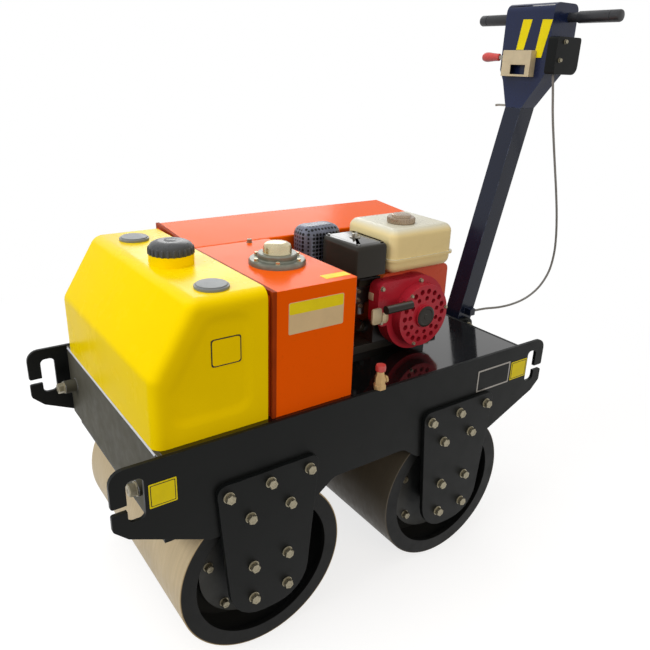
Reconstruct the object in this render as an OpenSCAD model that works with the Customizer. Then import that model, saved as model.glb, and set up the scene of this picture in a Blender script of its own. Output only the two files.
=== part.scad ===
// Walk-behind vibratory roller with two steel drums, tanks, a small engine and a folding handle.
// Millimetres, +X forwards, +Y to the machine's left, +Z up, ground at zero.

/* [Drums] */
// Outside diameter of each drum.
drum_d = 426; // [300:1:600]
// Width of each drum across its end faces.
drum_w = 620; // [400:1:900]
// Distance between the two drum axles.
axle_span = 585; // [450:1:800]
// Depth of the recess in each drum end.
drum_recess = 100; // [40:1:160]
// Width of the flat ring at each drum end.
drum_ring_w = 40; // [20:1:60]

/* [Frame] */
// Height of the deck's upper face above the ground.
deck_h = 600; // [450:1:800]
// Distance from the middle of the machine to a hook's tip.
hook_reach = 635; // [500:1:800]
// Clear width between the side plates.
plate_gap = 632; // [420:1:920]
// Thickness of the side plates.
plate_t = 10; // [6:1:20]
// Thickness of the deck.
deck_t = 8; // [4:1:16]
// Thickness of the cross plates.
cross_t = 10; // [6:1:16]
// Distance from the middle of the machine to a cross plate's outer face.
cross_reach = 533; // [500:1:700]

/* [Water tank] */
// Length of the water tank.
tank_l = 256; // [150:1:350]
// Width of the water tank.
tank_w = 600; // [400:1:800]
// Height of the water tank.
tank_h = 297; // [150:1:350]
// Height of the upright front face.
tank_front_h = 148; // [60:1:250]
// Length of the sloping front at the top.
tank_slope_l = 92; // [30:1:140]
// Radius of the tank's side edges.
tank_edge_r = 24; // [8:1:32]

/* [Hydraulic tank and hood] */
// Length of the hydraulic tank.
oil_l = 217; // [150:1:300]
// Height of the hydraulic tank.
oil_h = 288; // [200:1:350]
// Distance from the middle to the tank's outer side.
oil_reach = 305; // [200:1:320]
// Height of the belt hood at its outer side.
hood_h = 306; // [200:1:400]
// Length of the belt hood.
hood_l = 765; // [400:1:900]
// Width of the belt hood.
hood_w = 223; // [120:1:300]

/* [Engine] */
// Height of the crankshaft above the deck.
crank_h = 112; // [80:1:140]
// Diameter of the fan cover.
fan_d = 204; // [150:1:260]
// Length of the fuel tank.
fuel_l = 214; // [150:1:300]
// Width of the fuel tank.
fuel_w = 195; // [120:1:260]
// Height of the fuel tank.
fuel_h = 114; // [60:1:160]

/* [Handle] */
// Height of the handle's pivot above the ground.
pivot_h = 550; // [450:1:700]
// Distance of the pivot behind the middle of the machine.
pivot_back = 612; // [570:1:700]
// Backward lean of the arm from upright.
arm_lean = 14.8; // [0:0.1:40]
// Width and depth of the square arm.
arm_w = 60; // [40:1:90]
// Width of the handle's head.
head_w = 170; // [120:1:260]
// Depth of the handle's head.
head_d = 110; // [80:1:180]
// Height of the handle's top above the ground.
head_top_h = 1502; // [1200:1:1600]
// Height of the head's upright sides.
head_side_h = 182; // [100:1:260]
// Width across the ends of the grips.
grip_span = 494; // [360:1:700]
// Diameter of the grips.
grip_d = 32; // [24:1:40]

/* [Hidden] */
// Sides of a true circle.
round_n = 96;
// Sides of the spheres in a rounded hull.
edge_n = 32;
// Steps along a rounded corner of an outline.
corner_n = 6;
// Overrun of every cut past the face it opens.
over = 2;
// Radial clearance of a running fit.
run_fit = 0.05;
// Gap between neighbouring covers.
cover_gap = 2;

// Drum.
drum_r = drum_d / 2;
drum_half_w = drum_w / 2;
drum_shell_t = 14;
drum_ring_t = 12;
drum_disc_t = 14;
drum_disc_y = drum_half_w - drum_recess;
axle_x = axle_span / 2;
hub_r_share = 0.695;
hub_r = drum_r * hub_r_share;
hub_rise_share = 0.58;
hub_y = drum_disc_y + drum_recess * hub_rise_share;
journal_r = 30;
journal_gap = 4;
journal_end_y = drum_half_w - journal_gap;

// Side plate.
plate_in_y = plate_gap / 2;
plate_out_y = plate_in_y + plate_t;
plate_mid_h = 405;
plate_mid_half_l = 110;
plate_low_h = 365;
plate_low_in = 130;
plate_low_out = 138;
plate_low_x = axle_x - plate_low_in;
plate_low_x2 = axle_x + plate_low_out;
hook_foot_in = 29;
hook_foot_x = hook_reach - hook_foot_in;
hook_foot_h = 444;
hook_jaw_h = 472;
hook_slit_low_h = 508;
hook_slit_h = 522;
hook_bar_w = 32;
hook_win_w = 35;
hook_win_out_x = hook_reach - hook_bar_w;
hook_win_in_x = hook_win_out_x - hook_win_w;
hook_win_low_h = 480;
hook_win_top_h = 574;
hook_top_h = 603;
hook_top_r = 30;
hook_jaw_r = 12;
hook_win_r = 12;
hook_lip_r = 5;
plate_bend_r = 40;

// Drum bracket with bearing housing.
bracket_t = 12;
bracket_top_h = 496;
bracket_half_w = 130;
bracket_low_r = 88;
bracket_low_flat = 9;
bracket_drop = 97;
bore_end_gap = 8;
bracket_corner_r = 22;
bracket_in_y = plate_out_y;
bracket_out_y = bracket_in_y + bracket_t;
housing_r = 64;
housing_gap = 8;
housing_in_y = hub_y + housing_gap;
housing_bore_y = journal_end_y + bore_end_gap;
bracket_low_half_w = bracket_low_r + bracket_low_flat;
bracket_low_h = drum_r - bracket_drop;

// Cross plates and deck.
cross_low_h = 405;
cross_in_x = cross_reach - cross_t;
stop_r = 17;
stop_l = 30;
stop_in = 54;
stop_y = plate_in_y - stop_in;
stop_h = 508;
scraper_t = 8;
scraper_gap = 6;
scraper_side_gap = 15;
scraper_lap = 25;
scraper_half_l = drum_half_w - scraper_side_gap;
scraper_top_h = cross_low_h + scraper_lap;
blade_h = 375;
blade_tip_x = axle_x + sqrt((drum_r + scraper_gap) ^ 2 - (blade_h - drum_r) ^ 2);

// Water tank.
tank_rear_x = cross_reach - tank_l;
tank_top_h = deck_h + tank_h;
tank_half_w = tank_w / 2;
tank_wall = 30;
tank_bend_r = 34;
tank_panel_depth = 6;
tank_panel_inset = 30;
tank_panel_slope_inset = 24;
tank_panel_r = 42;
tank_panel_edge_w = 28;
tank_panel_shares = [-0.25, 0.25, 0.5, 0.75, 1];
filler_back = 163;
filler_x = cross_reach - filler_back;
filler_y = 38;
filler_neck_r = 50;
filler_neck_h = 23;
filler_cap_r = 48;
filler_cap_h = 16;
filler_dome_h = 14;
filler_rib_h = 13;
filler_rib_r = 4;
filler_rib_n = 24;
plug_r = 36;
plug_h = 6;
plug_top_r = 32;
plug_top_h = 3;
plug_y_shares = [-0.65, 0.79];

// Hydraulic tank and hood.
cover_t = 4;
tank_gap = 8;
oil_front_x = tank_rear_x - tank_gap;
oil_rear_x = oil_front_x - oil_l;
oil_low_y = -80;
oil_corner_r = 7;
breather_x = 150;
breather_y = 126;
breather_flange_r = 66;
breather_flange_h = 12;
breather_body_r = 46;
breather_body_h = 14;
breather_dome_r = 33;
breather_dome_h = 24;
breather_h = breather_flange_h + breather_body_h + breather_dome_h;
hood_front_x = oil_front_x;
hood_rear_x = hood_front_x - hood_l;
hood_high_y = oil_low_y - cover_gap;
hood_low_y = hood_high_y - hood_w;
hood_edge_r = 5;

// Engine.
crank_x = -245;
crank_z = deck_h + crank_h;
block_x1 = -345;
block_x2 = -150;
block_y1 = -50;
block_y2 = 128;
engine_base_h = 22;
engine_base_x1 = -390;
engine_base_x2 = -70;
engine_base_y1 = -60;
engine_base_y2 = block_y2;
cylinder_tilt = 68;
cylinder_r = 46;
cylinder_l = 188;
cylinder_y = 40;
fin_r = 54;
fin_t = 6;
fin_n = 6;
fin_pitch = 13;
fin_start = 110;
fan_y2 = 188;
fan_r = fan_d / 2;
shroud_y2 = 150;
shroud_x1 = -388;
shroud_x2 = -150;
shroud_foot_in = 46;
shroud_low_h = 646;
shroud_side_h = 694;
shroud_top_h = 820;
shroud_r = 18;
duct_x = -111;
duct_rear_x = -275;
duct_low_h = 690;
duct_r = 22;
duct_top_h = 812;
recoil_r = 84;
recoil_y2 = 218;
recoil_hub_r = 30;
recoil_hub_y2 = 226;
recoil_hole_depth = 14;
// Rings of holes in the starter: number, radius of a hole and radius of the ring.
recoil_holes = [[18, 7, 66], [11, 6, 47]];
// Pull grip beside the starter.
pull_x1 = -184;
pull_x2 = -100;
pull_h = 758;
pull_r = 11;
pull_neck_r = 8;
pull_neck_in = 14;
pull_gap = 3;
pull_y = recoil_y2 + pull_gap + pull_r;
// Carburettor in front of the crankcase.
carb_flange_t = 10;
carb_flange_y1 = 97;
carb_low_h = 724;
carb_top_h = 800;
carb_x2 = -84;
carb_y1 = 97;
carb_y2 = 126;
carb_body_low_h = 744;
carb_body_top_h = 788;
carb_r = 8;
carb_neck_x = -137;
carb_bowl_x = -110;
carb_bowl_r = 15;
carb_bowl_low_h = 712;
fuel_x2 = -150;
fuel_x1 = fuel_x2 - fuel_l;
fuel_y2 = 185;
fuel_y1 = fuel_y2 - fuel_w;
fuel_low_h = 826;
fuel_top_h = fuel_low_h + fuel_h;
fuel_edge_r = 24;
fuel_flange_t = 6;
fuel_flange_out = 5;
fuel_flange_h = 860;
fuel_cap_x = -236;
fuel_cap_y = 112;
fuel_cap_r = 36;
fuel_cap_h = 16;
fuel_cap_top_r = 26;
fuel_cap_top_h = 6;
cleaner_x1 = -142;
cleaner_x2 = -45;
cleaner_y1 = 28;
cleaner_y2 = 176;
cleaner_low_h = 832;
cleaner_top_h = 914;
cleaner_r = 8;
cleaner_top_r = 16;
muffler_x1 = -130;
muffler_x2 = -8;
muffler_y1 = -72;
muffler_y2 = 10;
muffler_top_h = 925;
muffler_r = 32;
muffler_top_r = 26;
neck_w = 26;
neck_l = 40;
neck_low_h = 770;

// Drain valve.
valve_x = -20;
valve_y = 318;
valve_r = 13;
valve_h = 44;
valve_knob_r = 10;
valve_knob_h = 18;
valve_spout_r = 8;
valve_spout_l = 30;

// Handle bracket on the rear cross plate.
pivot_x = -pivot_back;
cheek_t = 10;
cheek_gap = 5;
arm_half = arm_w / 2;
cheek_in_y = arm_half + cheek_gap;
cheek_out_y = cheek_in_y + cheek_t;
cheek_r = 28;
cheek_bend_r = 24;
cheek_low_h = 440;
cheek_top_h = 575;
pin_r = 12;
pin_head_r = 18;
pin_head_t = 8;
arm_bore_r = pin_r + run_fit;

// Arm and head.
arm_wall = 5;
arm_in = arm_half - arm_wall;
foot_share = 0.95;
foot_r = arm_half * foot_share;
foot_l = 70;
head_t = 6;
head_half_w = head_w / 2;
head_low_h = head_top_h - head_side_h;
head_neck_l = 105;
head_neck_h = head_low_h - head_neck_l;
head_bend_l = 30;
head_bend_h = head_low_h - head_bend_l;
head_front_x = pivot_x + arm_half / cos(arm_lean) - (head_bend_h - pivot_h) * tan(arm_lean);
head_rear_x = head_front_x - head_d;
head_neck_x = arm_point(-arm_half, arm_end(-arm_half))[0];
head_neck_front_x = arm_point(arm_half, arm_end(arm_half))[0];
head_rear_rise = 70;
head_chamfer = 24;
head_bend_r = 20;
grip_back = 75;
grip_drop = 37;
grip_x = head_front_x - grip_back;
grip_z = head_top_h - grip_drop;
grip_r = grip_d / 2;
grip_half_span = grip_span / 2;
box_w = 34;
box_d = 107;
box_h = 100;
box_in = 12;
box_sink = 8;
box_rear_x = head_rear_x + box_in;
box_low_h = head_low_h - box_sink;
box_top_h = box_low_h + box_h;
box_corner_r = 8;
box_rear_r = 24;
lever_plate_w = 104;
lever_plate_h = 72;
lever_plate_t = 4;
lever_plate_y = -8;
lever_plate_sink = 17;
lever_plate_h0 = head_low_h - lever_plate_sink;
lever_plate_y1 = lever_plate_y - lever_plate_w / 2;
lever_plate_foot = 24;
lever_slot_w = 26;
lever_slot_l = 54;
lever_slot_h = 6;
lever_slot_y = 0;
lever_r = 6;
lever_x = head_front_x + lever_plate_foot - lever_r;
lever_y = lever_plate_y1;
lever_rise = 52;
lever_z = lever_plate_h0 + lever_rise;
lever_l = 16;
lever_knob_r = 14;
lever_knob_l = 62;

// Clip at the arm's foot, and the cable's route from the control box to it.
clip_w = 22;
clip_reach = 26;
clip_rise = 48;
clip_x = arm_point(0, clip_rise)[0] - clip_w / 2;
clip_h = arm_point(0, clip_rise)[1];
clip_hold = 14;
cable_r = 3.5;
cable_sides = 10;
cable_steps = 4;
cable_exit_in = 86;
cable_exit = [box_rear_x + cable_exit_in, head_half_w + box_w / 2, box_low_h];
cable_end = [clip_x, arm_half + clip_hold, clip_h];
cable_route = [
    [-788, 102, 1316], [-800, 102, 1270], [-820, 100, 1200], [-848, 98, 1120], [-880, 94, 1040],
    [-912, 90, 960], [-942, 85, 880], [-964, 80, 806], [-976, 74, 745], [-972, 68, 686],
    [-942, 62, 636], [-890, 57, 604], [-826, 53, 590], [-760, 49, 588], [-695, 46, 594], [-635, 44, 596]
];

// Side outline of the handle's head in X and Z, and its front outline in Y and Z.
head_side = [
    [head_neck_front_x, head_neck_h, 0], [head_front_x, head_bend_h, 0],
    [head_front_x, head_top_h, head_chamfer], [head_rear_x, head_top_h, head_bend_r],
    [head_rear_x, head_low_h + head_rear_rise, head_bend_r], [head_neck_x, head_neck_h, 0]
];
head_front = [
    [-arm_half, head_neck_h], [arm_half, head_neck_h], [head_half_w, head_low_h], [head_half_w, head_top_h],
    [-head_half_w, head_top_h], [-head_half_w, head_low_h]
];

// Part frame: the middle of the whole length stands over the origin.
x_shift = (-hook_reach - head_rear_x) / 2;

// Unit vector of a plane direction.
function unit(v) = v / norm(v);

// Points of one rounded corner as middle, direction and radius.
function corner_rays(p, c, n, r) =
    let (u = unit(p - c), v = unit(n - c), half = acos(u * v) / 2, m = c + unit(u + v) * r / sin(half),
        d0 = unit(c + u * r / tan(half) - m), d1 = unit(c + v * r / tan(half) - m), turn = 180 - 2 * half)
    [for (i = [0:corner_n])
        [m, (sin((1 - i / corner_n) * turn) * d0 + sin(i / corner_n * turn) * d1) / sin(turn), r]];

// Rays of a whole outline from points of two coordinates and a radius.
function outline_rays(pts) =
    let (n = len(pts))
    [for (i = [0:n - 1])
        let (c = [pts[i][0], pts[i][1]], p = [pts[(i + n - 1) % n][0], pts[(i + n - 1) % n][1]],
            q = [pts[(i + 1) % n][0], pts[(i + 1) % n][1]])
        each pts[i][2] > 0 ? corner_rays(p, c, q, pts[i][2]) : [[c, [0, 0], 0]]];

// Outline with rounded corners, moved inwards by an inset.
function rounded(pts, inset = 0) = [for (ray = outline_rays(pts)) ray[0] + (ray[2] - inset) * ray[1]];

// Solid from an outline in X and Z, between two positions along Y.
module slab_y(pts, y1, y2) {
    translate([0, y2, 0])
        rotate([90, 0, 0])
            linear_extrude(height = y2 - y1)
                polygon(pts);
}

// Solid from an outline in Y and Z, between two positions along X.
module slab_x(pts, x1, x2) {
    translate([x1, 0, 0])
        rotate([90, 0, 90])
            linear_extrude(height = x2 - x1)
                polygon(pts);
}

// Upright block with rounded upright edges.
module post(x1, x2, y1, y2, z1, z2, r) {
    translate([0, 0, z1])
        linear_extrude(height = z2 - z1)
            polygon(rounded([[x1, y1, r], [x2, y1, r], [x2, y2, r], [x1, y2, r]]));
}

// Round bar along Y.
module bar_y(x, z, r, y1, y2) {
    translate([x, y2, z])
        rotate([90, 0, 0])
            cylinder(h = y2 - y1, r = r, $fn = round_n);
}

// Position in the part frame.
module placed() {
    translate([x_shift, 0, 0])
        children();
}

// Section of a drum from its axis outwards, in radius and width.
drum_section = [
    [0, -journal_end_y], [journal_r, -journal_end_y], [journal_r, -hub_y], [hub_r, -hub_y],
    [hub_r, -drum_disc_y],
    [drum_r - drum_shell_t, -drum_disc_y], [drum_r - drum_shell_t, -drum_half_w + drum_ring_t],
    [drum_r - drum_ring_w, -drum_half_w + drum_ring_t], [drum_r - drum_ring_w, -drum_half_w],
    [drum_r, -drum_half_w], [drum_r, drum_half_w],
    [drum_r - drum_ring_w, drum_half_w], [drum_r - drum_ring_w, drum_half_w - drum_ring_t],
    [drum_r - drum_shell_t, drum_half_w - drum_ring_t], [drum_r - drum_shell_t, drum_disc_y],
    [hub_r, drum_disc_y], [hub_r, hub_y], [journal_r, hub_y], [journal_r, journal_end_y], [0, journal_end_y]
];

// Turned drum with a raised hub at each end, hollow between its discs.
module drum(x) {
    translate([x, 0, drum_r])
        rotate([90, 0, 0])
            rotate_extrude($fn = round_n)
                difference() {
                    polygon(drum_section);
                    translate([journal_r, drum_disc_t - drum_disc_y])
                        square([drum_r - drum_shell_t - journal_r, 2 * (drum_disc_y - drum_disc_t)]);
                    translate([journal_r, drum_disc_t - hub_y])
                        square([hub_r - drum_disc_t - journal_r, 2 * (hub_y - drum_disc_t)]);
                }
}

module front_drum() {
    color("tan") placed() drum(axle_x);
}

module rear_drum() {
    color("tan") placed() drum(-axle_x);
}

// Outline of the front half of a side plate, from its middle outwards and back along the top.
plate_front = [
    [plate_mid_half_l, plate_mid_h, plate_bend_r],
    [plate_low_x, plate_low_h, plate_bend_r],
    [plate_low_x2, plate_low_h, plate_bend_r],
    [hook_foot_x, hook_foot_h, hook_jaw_r],
    [hook_reach, hook_jaw_h, hook_jaw_r],
    [hook_reach, hook_slit_low_h, hook_lip_r],
    [hook_win_out_x, hook_slit_low_h, 0],
    [hook_win_out_x, hook_win_low_h, hook_win_r],
    [hook_win_in_x, hook_win_low_h, hook_win_r],
    [hook_win_in_x, hook_win_top_h, hook_win_r],
    [hook_win_out_x, hook_win_top_h, hook_win_r],
    [hook_win_out_x, hook_slit_h, 0],
    [hook_reach, hook_slit_h, hook_lip_r],
    [hook_reach, hook_top_h, hook_top_r]
];

// Whole outline: the front half and its mirror image.
plate_outline = rounded(concat(
    plate_front,
    [for (i = [len(plate_front) - 1:-1:0]) [-plate_front[i][0], plate_front[i][1], plate_front[i][2]]]
));

module side_plate_left() {
    color("dimgray") placed() slab_y(plate_outline, plate_in_y, plate_out_y);
}

module side_plate_right() {
    color("dimgray") placed() slab_y(plate_outline, -plate_out_y, -plate_in_y);
}

// Drum bracket: a plate with a rounded lower end, and the bearing housing behind it.
bracket_outline = rounded([
    [-bracket_half_w, bracket_top_h, bracket_corner_r], [bracket_half_w, bracket_top_h, bracket_corner_r],
    [bracket_low_half_w, bracket_low_h, bracket_low_r], [-bracket_low_half_w, bracket_low_h, bracket_low_r]
]);

module bracket(x, side) {
    translate([x, 0, 0])
        mirror([0, side < 0 ? 1 : 0, 0])
            difference() {
                union() {
                    slab_y(bracket_outline, bracket_in_y, bracket_out_y);
                    bar_y(0, drum_r, housing_r, housing_in_y, bracket_in_y);
                }
                bar_y(0, drum_r, journal_r + run_fit, housing_in_y - over, housing_bore_y);
            }
}

module front_bracket_left() {
    color("black") placed() bracket(axle_x, 1);
}

module front_bracket_right() {
    color("black") placed() bracket(axle_x, -1);
}

module rear_bracket_left() {
    color("black") placed() bracket(-axle_x, 1);
}

module rear_bracket_right() {
    color("black") placed() bracket(-axle_x, -1);
}

// Cross plate with two round stops on its front.
module front_cross_plate() {
    color("dimgray")
        placed() {
            translate([cross_in_x, -plate_in_y, cross_low_h])
                cube([cross_t, plate_gap, deck_h - cross_low_h]);
            for (side = [-1, 1])
                translate([cross_in_x, side * stop_y, stop_h])
                    rotate([0, 90, 0])
                        cylinder(h = cross_t + stop_l, r = stop_r, $fn = round_n);
        }
}

module rear_cross_plate() {
    color("dimgray")
        placed()
            translate([-cross_reach, -plate_in_y, cross_low_h])
                cube([cross_t, plate_gap, deck_h - cross_low_h]);
}

module deck() {
    color("black")
        placed()
            translate([-cross_in_x, -plate_in_y, deck_h - deck_t])
                cube([2 * cross_in_x, plate_gap, deck_t]);
}

// Scraper: an upright strip behind a cross plate and a blade towards the drum.
module scraper() {
    translate([cross_in_x - scraper_t, -scraper_half_l, blade_h])
        cube([scraper_t, 2 * scraper_half_l, scraper_top_h - blade_h]);
    translate([blade_tip_x, -scraper_half_l, blade_h])
        cube([cross_in_x - blade_tip_x, 2 * scraper_half_l, scraper_t]);
}

module front_scraper() {
    color("gray") placed() scraper();
}

module rear_scraper() {
    color("gray") placed() mirror([1, 0, 0]) scraper();
}

// Two cheeks behind the rear cross plate and the pin between them.
cheek_outline = rounded([
    [-cross_reach, cheek_low_h, 0], [-cross_reach, cheek_top_h, 0],
    [pivot_x - cheek_r, cheek_top_h, cheek_bend_r], [pivot_x - cheek_r, pivot_h - cheek_r, cheek_bend_r]
]);

module handle_bracket() {
    color("black")
        placed() {
            slab_y(cheek_outline, cheek_in_y, cheek_out_y);
            slab_y(cheek_outline, -cheek_out_y, -cheek_in_y);
            bar_y(pivot_x, pivot_h, pin_r, -cheek_out_y, cheek_out_y);
            bar_y(pivot_x, pivot_h, pin_head_r, cheek_out_y, cheek_out_y + pin_head_t);
            bar_y(pivot_x, pivot_h, pin_head_r, -cheek_out_y - pin_head_t, -cheek_out_y);
        }
}

// Side outline of the water tank with two soft bends, and rings of it across the tank.
tank_side = [
    [tank_rear_x, deck_h, 0], [cross_reach, deck_h, 0], [cross_reach, deck_h + tank_front_h, tank_bend_r],
    [cross_reach - tank_slope_l, tank_top_h, tank_bend_r], [tank_rear_x, tank_top_h, 0]
];
tank_bends = [for (ray = outline_rays(tank_side)) if (ray[2] > 0) ray];
function tank_ring(inset, y) = [
    [tank_rear_x, y, deck_h], [cross_reach - inset, y, deck_h],
    for (ray = tank_bends) let (q = ray[0] + (ray[2] - inset) * ray[1]) [q[0], y, q[1]],
    [tank_rear_x, y, tank_top_h - inset]
];
tank_turns = [
    for (i = [0:corner_n]) [-1, 90 - i * 90 / corner_n],
    for (i = [0:corner_n]) [1, i * 90 / corner_n]
];
tank_rings = [
    for (t = tank_turns)
        tank_ring(tank_edge_r * (1 - cos(t[1])), t[0] * (tank_half_w - tank_edge_r + tank_edge_r * sin(t[1])))
];
tank_inside = [
    [tank_rear_x + tank_wall, deck_h - over], [cross_reach - tank_wall, deck_h - over],
    [cross_reach - tank_wall, deck_h + tank_front_h - tank_wall],
    [cross_reach - tank_slope_l - tank_wall, tank_top_h - tank_wall],
    [tank_rear_x + tank_wall, tank_top_h - tank_wall]
];

// Sunk panel of the tank's side: rings from its soft edge down to its floor.
tank_panel = [
    [tank_rear_x + tank_panel_inset, deck_h + tank_panel_inset, tank_panel_r],
    [cross_reach - tank_panel_inset, deck_h + tank_panel_inset, tank_panel_r],
    [cross_reach - tank_panel_inset, deck_h + tank_front_h - tank_panel_slope_inset, tank_panel_r],
    [cross_reach - tank_slope_l - tank_panel_slope_inset, tank_top_h - tank_panel_inset, tank_panel_r],
    [tank_rear_x + tank_panel_inset, tank_top_h - tank_panel_inset, tank_panel_r]
];
function panel_sink(t) = tank_panel_depth * sign(t) * (1 - cos(180 * t)) / 2;
function panel_ring(t, side) = [
    for (q = rounded(tank_panel, tank_panel_edge_w * t)) [q[0], side * (tank_half_w - panel_sink(t)), q[1]]
];

// Solid through rings of equal numbers of points.
module ringed(rings) {
    n = len(rings[0]);
    m = len(rings);
    polyhedron(
        points = [for (ring = rings) each ring],
        faces = concat(
            [[for (k = [n - 1:-1:0]) k]],
            [for (i = [0:m - 2], k = [0:n - 1])
                [i * n + k, i * n + (k + 1) % n, (i + 1) * n + (k + 1) % n, (i + 1) * n + k]],
            [[for (k = [0:n - 1]) (m - 1) * n + k]]
        )
    );
}

module water_tank() {
    color("gold")
        placed() {
            difference() {
                ringed(tank_rings);
                slab_y(tank_inside, tank_wall - tank_half_w, tank_half_w - tank_wall);
                ringed([for (t = tank_panel_shares) panel_ring(t, -1)]);
                ringed([for (i = [len(tank_panel_shares) - 1:-1:0]) panel_ring(tank_panel_shares[i], 1)]);
            }
            translate([filler_x, filler_y, tank_top_h - tank_wall / 2])
                cylinder(h = filler_neck_h + tank_wall / 2, r = filler_neck_r, $fn = round_n);
        }
}

// Domed cap with ribs around it.
filler_section = [
    [0, 0], [filler_cap_r, 0],
    for (i = [0:corner_n - 1])
        [filler_cap_r * cos(i * 90 / corner_n), filler_cap_h + filler_dome_h * sin(i * 90 / corner_n)],
    [0, filler_cap_h + filler_dome_h * cos(90 / corner_n)]
];

module filler_cap() {
    color("black")
        placed()
            translate([filler_x, filler_y, tank_top_h + filler_neck_h]) {
                rotate_extrude($fn = round_n)
                    polygon(filler_section);
                for (i = [0:filler_rib_n - 1])
                    rotate([0, 0, i * 360 / filler_rib_n])
                        translate([filler_cap_r, 0, 0])
                            cylinder(h = filler_rib_h, r = filler_rib_r, $fn = 6);
            }
}

module tank_plugs() {
    color("gray")
        placed()
            for (share = plug_y_shares)
                translate([filler_x, tank_half_w * share, tank_top_h]) {
                    cylinder(h = plug_h, r = plug_r, $fn = round_n);
                    cylinder(h = plug_h + plug_top_h, r = plug_top_r, $fn = round_n);
                }
}

// Sheet cover with rounded upright edges, open below.
module cover(x1, x2, y1, y2, h, r) {
    difference() {
        post(x1, x2, y1, y2, deck_h, deck_h + h, r);
        translate([x1 + cover_t, y1 + cover_t, deck_h - over])
            cube([x2 - x1 - 2 * cover_t, y2 - y1 - 2 * cover_t, h - cover_t + over]);
    }
}

module hydraulic_tank() {
    color("orangered") placed() cover(oil_rear_x, oil_front_x, oil_low_y, oil_reach, oil_h, oil_corner_r);
}

module breather_cap() {
    color("silver")
        placed()
            translate([breather_x, breather_y, deck_h + oil_h]) {
                cylinder(h = breather_flange_h, r = breather_flange_r, $fn = round_n);
                cylinder(h = breather_flange_h + breather_body_h, r = breather_body_r, $fn = round_n);
                cylinder(h = breather_h, r = breather_dome_r, $fn = round_n);
            }
}

// Hood whose top rises from the hydraulic tank's edge to the outer side, open below.
hood_outline = rounded([
    [hood_low_y, deck_h, 0], [hood_high_y, deck_h, 0],
    [hood_high_y, deck_h + oil_h, hood_edge_r], [hood_low_y, deck_h + hood_h, hood_edge_r]
]);
hood_inside = [
    [hood_low_y + cover_t, deck_h - over], [hood_high_y - cover_t, deck_h - over],
    [hood_high_y - cover_t, deck_h + oil_h - cover_t], [hood_low_y + cover_t, deck_h + hood_h - cover_t]
];

module belt_hood() {
    color("orangered")
        placed()
            difference() {
                slab_x(hood_outline, hood_rear_x, hood_front_x);
                slab_x(hood_inside, hood_rear_x + cover_t, hood_front_x - cover_t);
            }
}

module engine_base() {
    color("black")
        placed()
            translate([engine_base_x1, engine_base_y1, deck_h])
                cube([engine_base_x2 - engine_base_x1, engine_base_y2 - engine_base_y1, engine_base_h]);
}

// Crankcase, and a leaning cylinder with its fins and head.
module engine_block() {
    color("dimgray")
        placed() {
            translate([block_x1, block_y1, deck_h + engine_base_h])
                cube([block_x2 - block_x1, block_y2 - block_y1, fuel_low_h - deck_h - engine_base_h]);
            translate([crank_x, cylinder_y, crank_z])
                rotate([0, cylinder_tilt, 0]) {
                    cylinder(h = cylinder_l, r = cylinder_r, $fn = round_n);
                    for (i = [0:fin_n - 1])
                        translate([0, 0, fin_start + i * fin_pitch])
                            cylinder(h = fin_t, r = fin_r, $fn = round_n);
                }
        }
}

// Flange, body and float bowl of the carburettor.
module carburettor() {
    color("dimgray")
        placed() {
            translate([block_x2, carb_flange_y1, carb_low_h])
                cube([carb_flange_t, block_y2 - carb_flange_y1, carb_top_h - carb_low_h]);
            post(block_x2, carb_x2, carb_y1, carb_y2, carb_body_low_h, carb_body_top_h, carb_r);
            translate([carb_bowl_x, (carb_y1 + carb_y2) / 2, carb_bowl_low_h])
                cylinder(h = carb_body_low_h - carb_bowl_low_h, r = carb_bowl_r, $fn = round_n);
        }
}

// Back plate of the shroud, and the round cover with its air duct.
shroud_outline = rounded([
    [shroud_x1 + shroud_foot_in, shroud_low_h, shroud_r],
    [shroud_x2 - shroud_foot_in, shroud_low_h, shroud_r],
    [shroud_x2, shroud_side_h, shroud_r], [shroud_x2, shroud_top_h, shroud_r],
    [shroud_x1, shroud_top_h, shroud_r], [shroud_x1, shroud_side_h, shroud_r]
]);
duct_outline = rounded([
    [duct_rear_x, crank_z, 0], [duct_x, duct_low_h, duct_r],
    [duct_x, duct_top_h, duct_r], [duct_rear_x, duct_top_h, duct_r]
]);

module fan_cover() {
    color("firebrick")
        placed() {
            slab_y(shroud_outline, block_y2, shroud_y2);
            bar_y(crank_x, crank_z, fan_r, shroud_y2, fan_y2);
            slab_y(duct_outline, shroud_y2, fan_y2);
        }
}

module recoil_starter() {
    color("firebrick")
        placed()
            difference() {
                union() {
                    bar_y(crank_x, crank_z, recoil_r, fan_y2, recoil_y2);
                    bar_y(crank_x, crank_z, recoil_hub_r, fan_y2, recoil_hub_y2);
                }
                for (ring = recoil_holes, i = [0:ring[0] - 1])
                    bar_y(crank_x + ring[2] * cos(i * 360 / ring[0]),
                        crank_z + ring[2] * sin(i * 360 / ring[0]),
                        ring[1], recoil_y2 - recoil_hole_depth, recoil_y2 + over);
            }
}

module starter_grip() {
    color("black")
        placed() {
            translate([pull_x1, pull_y, pull_h])
                rotate([0, 90, 0])
                    cylinder(h = pull_x2 - pull_x1, r = pull_r, $fn = round_n);
            bar_y(pull_x1 + pull_neck_in, pull_h, pull_neck_r, recoil_y2, pull_y);
        }
}

// Rounded tank with a seam flange around it.
module fuel_tank() {
    color("ivory")
        placed() {
            hull()
                for (x = [fuel_x1 + fuel_edge_r, fuel_x2 - fuel_edge_r],
                    y = [fuel_y1 + fuel_edge_r, fuel_y2 - fuel_edge_r],
                    z = [fuel_low_h + fuel_edge_r, fuel_top_h - fuel_edge_r])
                    translate([x, y, z])
                        sphere(r = fuel_edge_r / cos(180 / edge_n), $fn = edge_n);
            post(fuel_x1 - fuel_flange_out, fuel_x2 + fuel_flange_out, fuel_y1 - fuel_flange_out,
                fuel_y2 + fuel_flange_out, fuel_flange_h, fuel_flange_h + fuel_flange_t, fuel_edge_r);
        }
}

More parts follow.
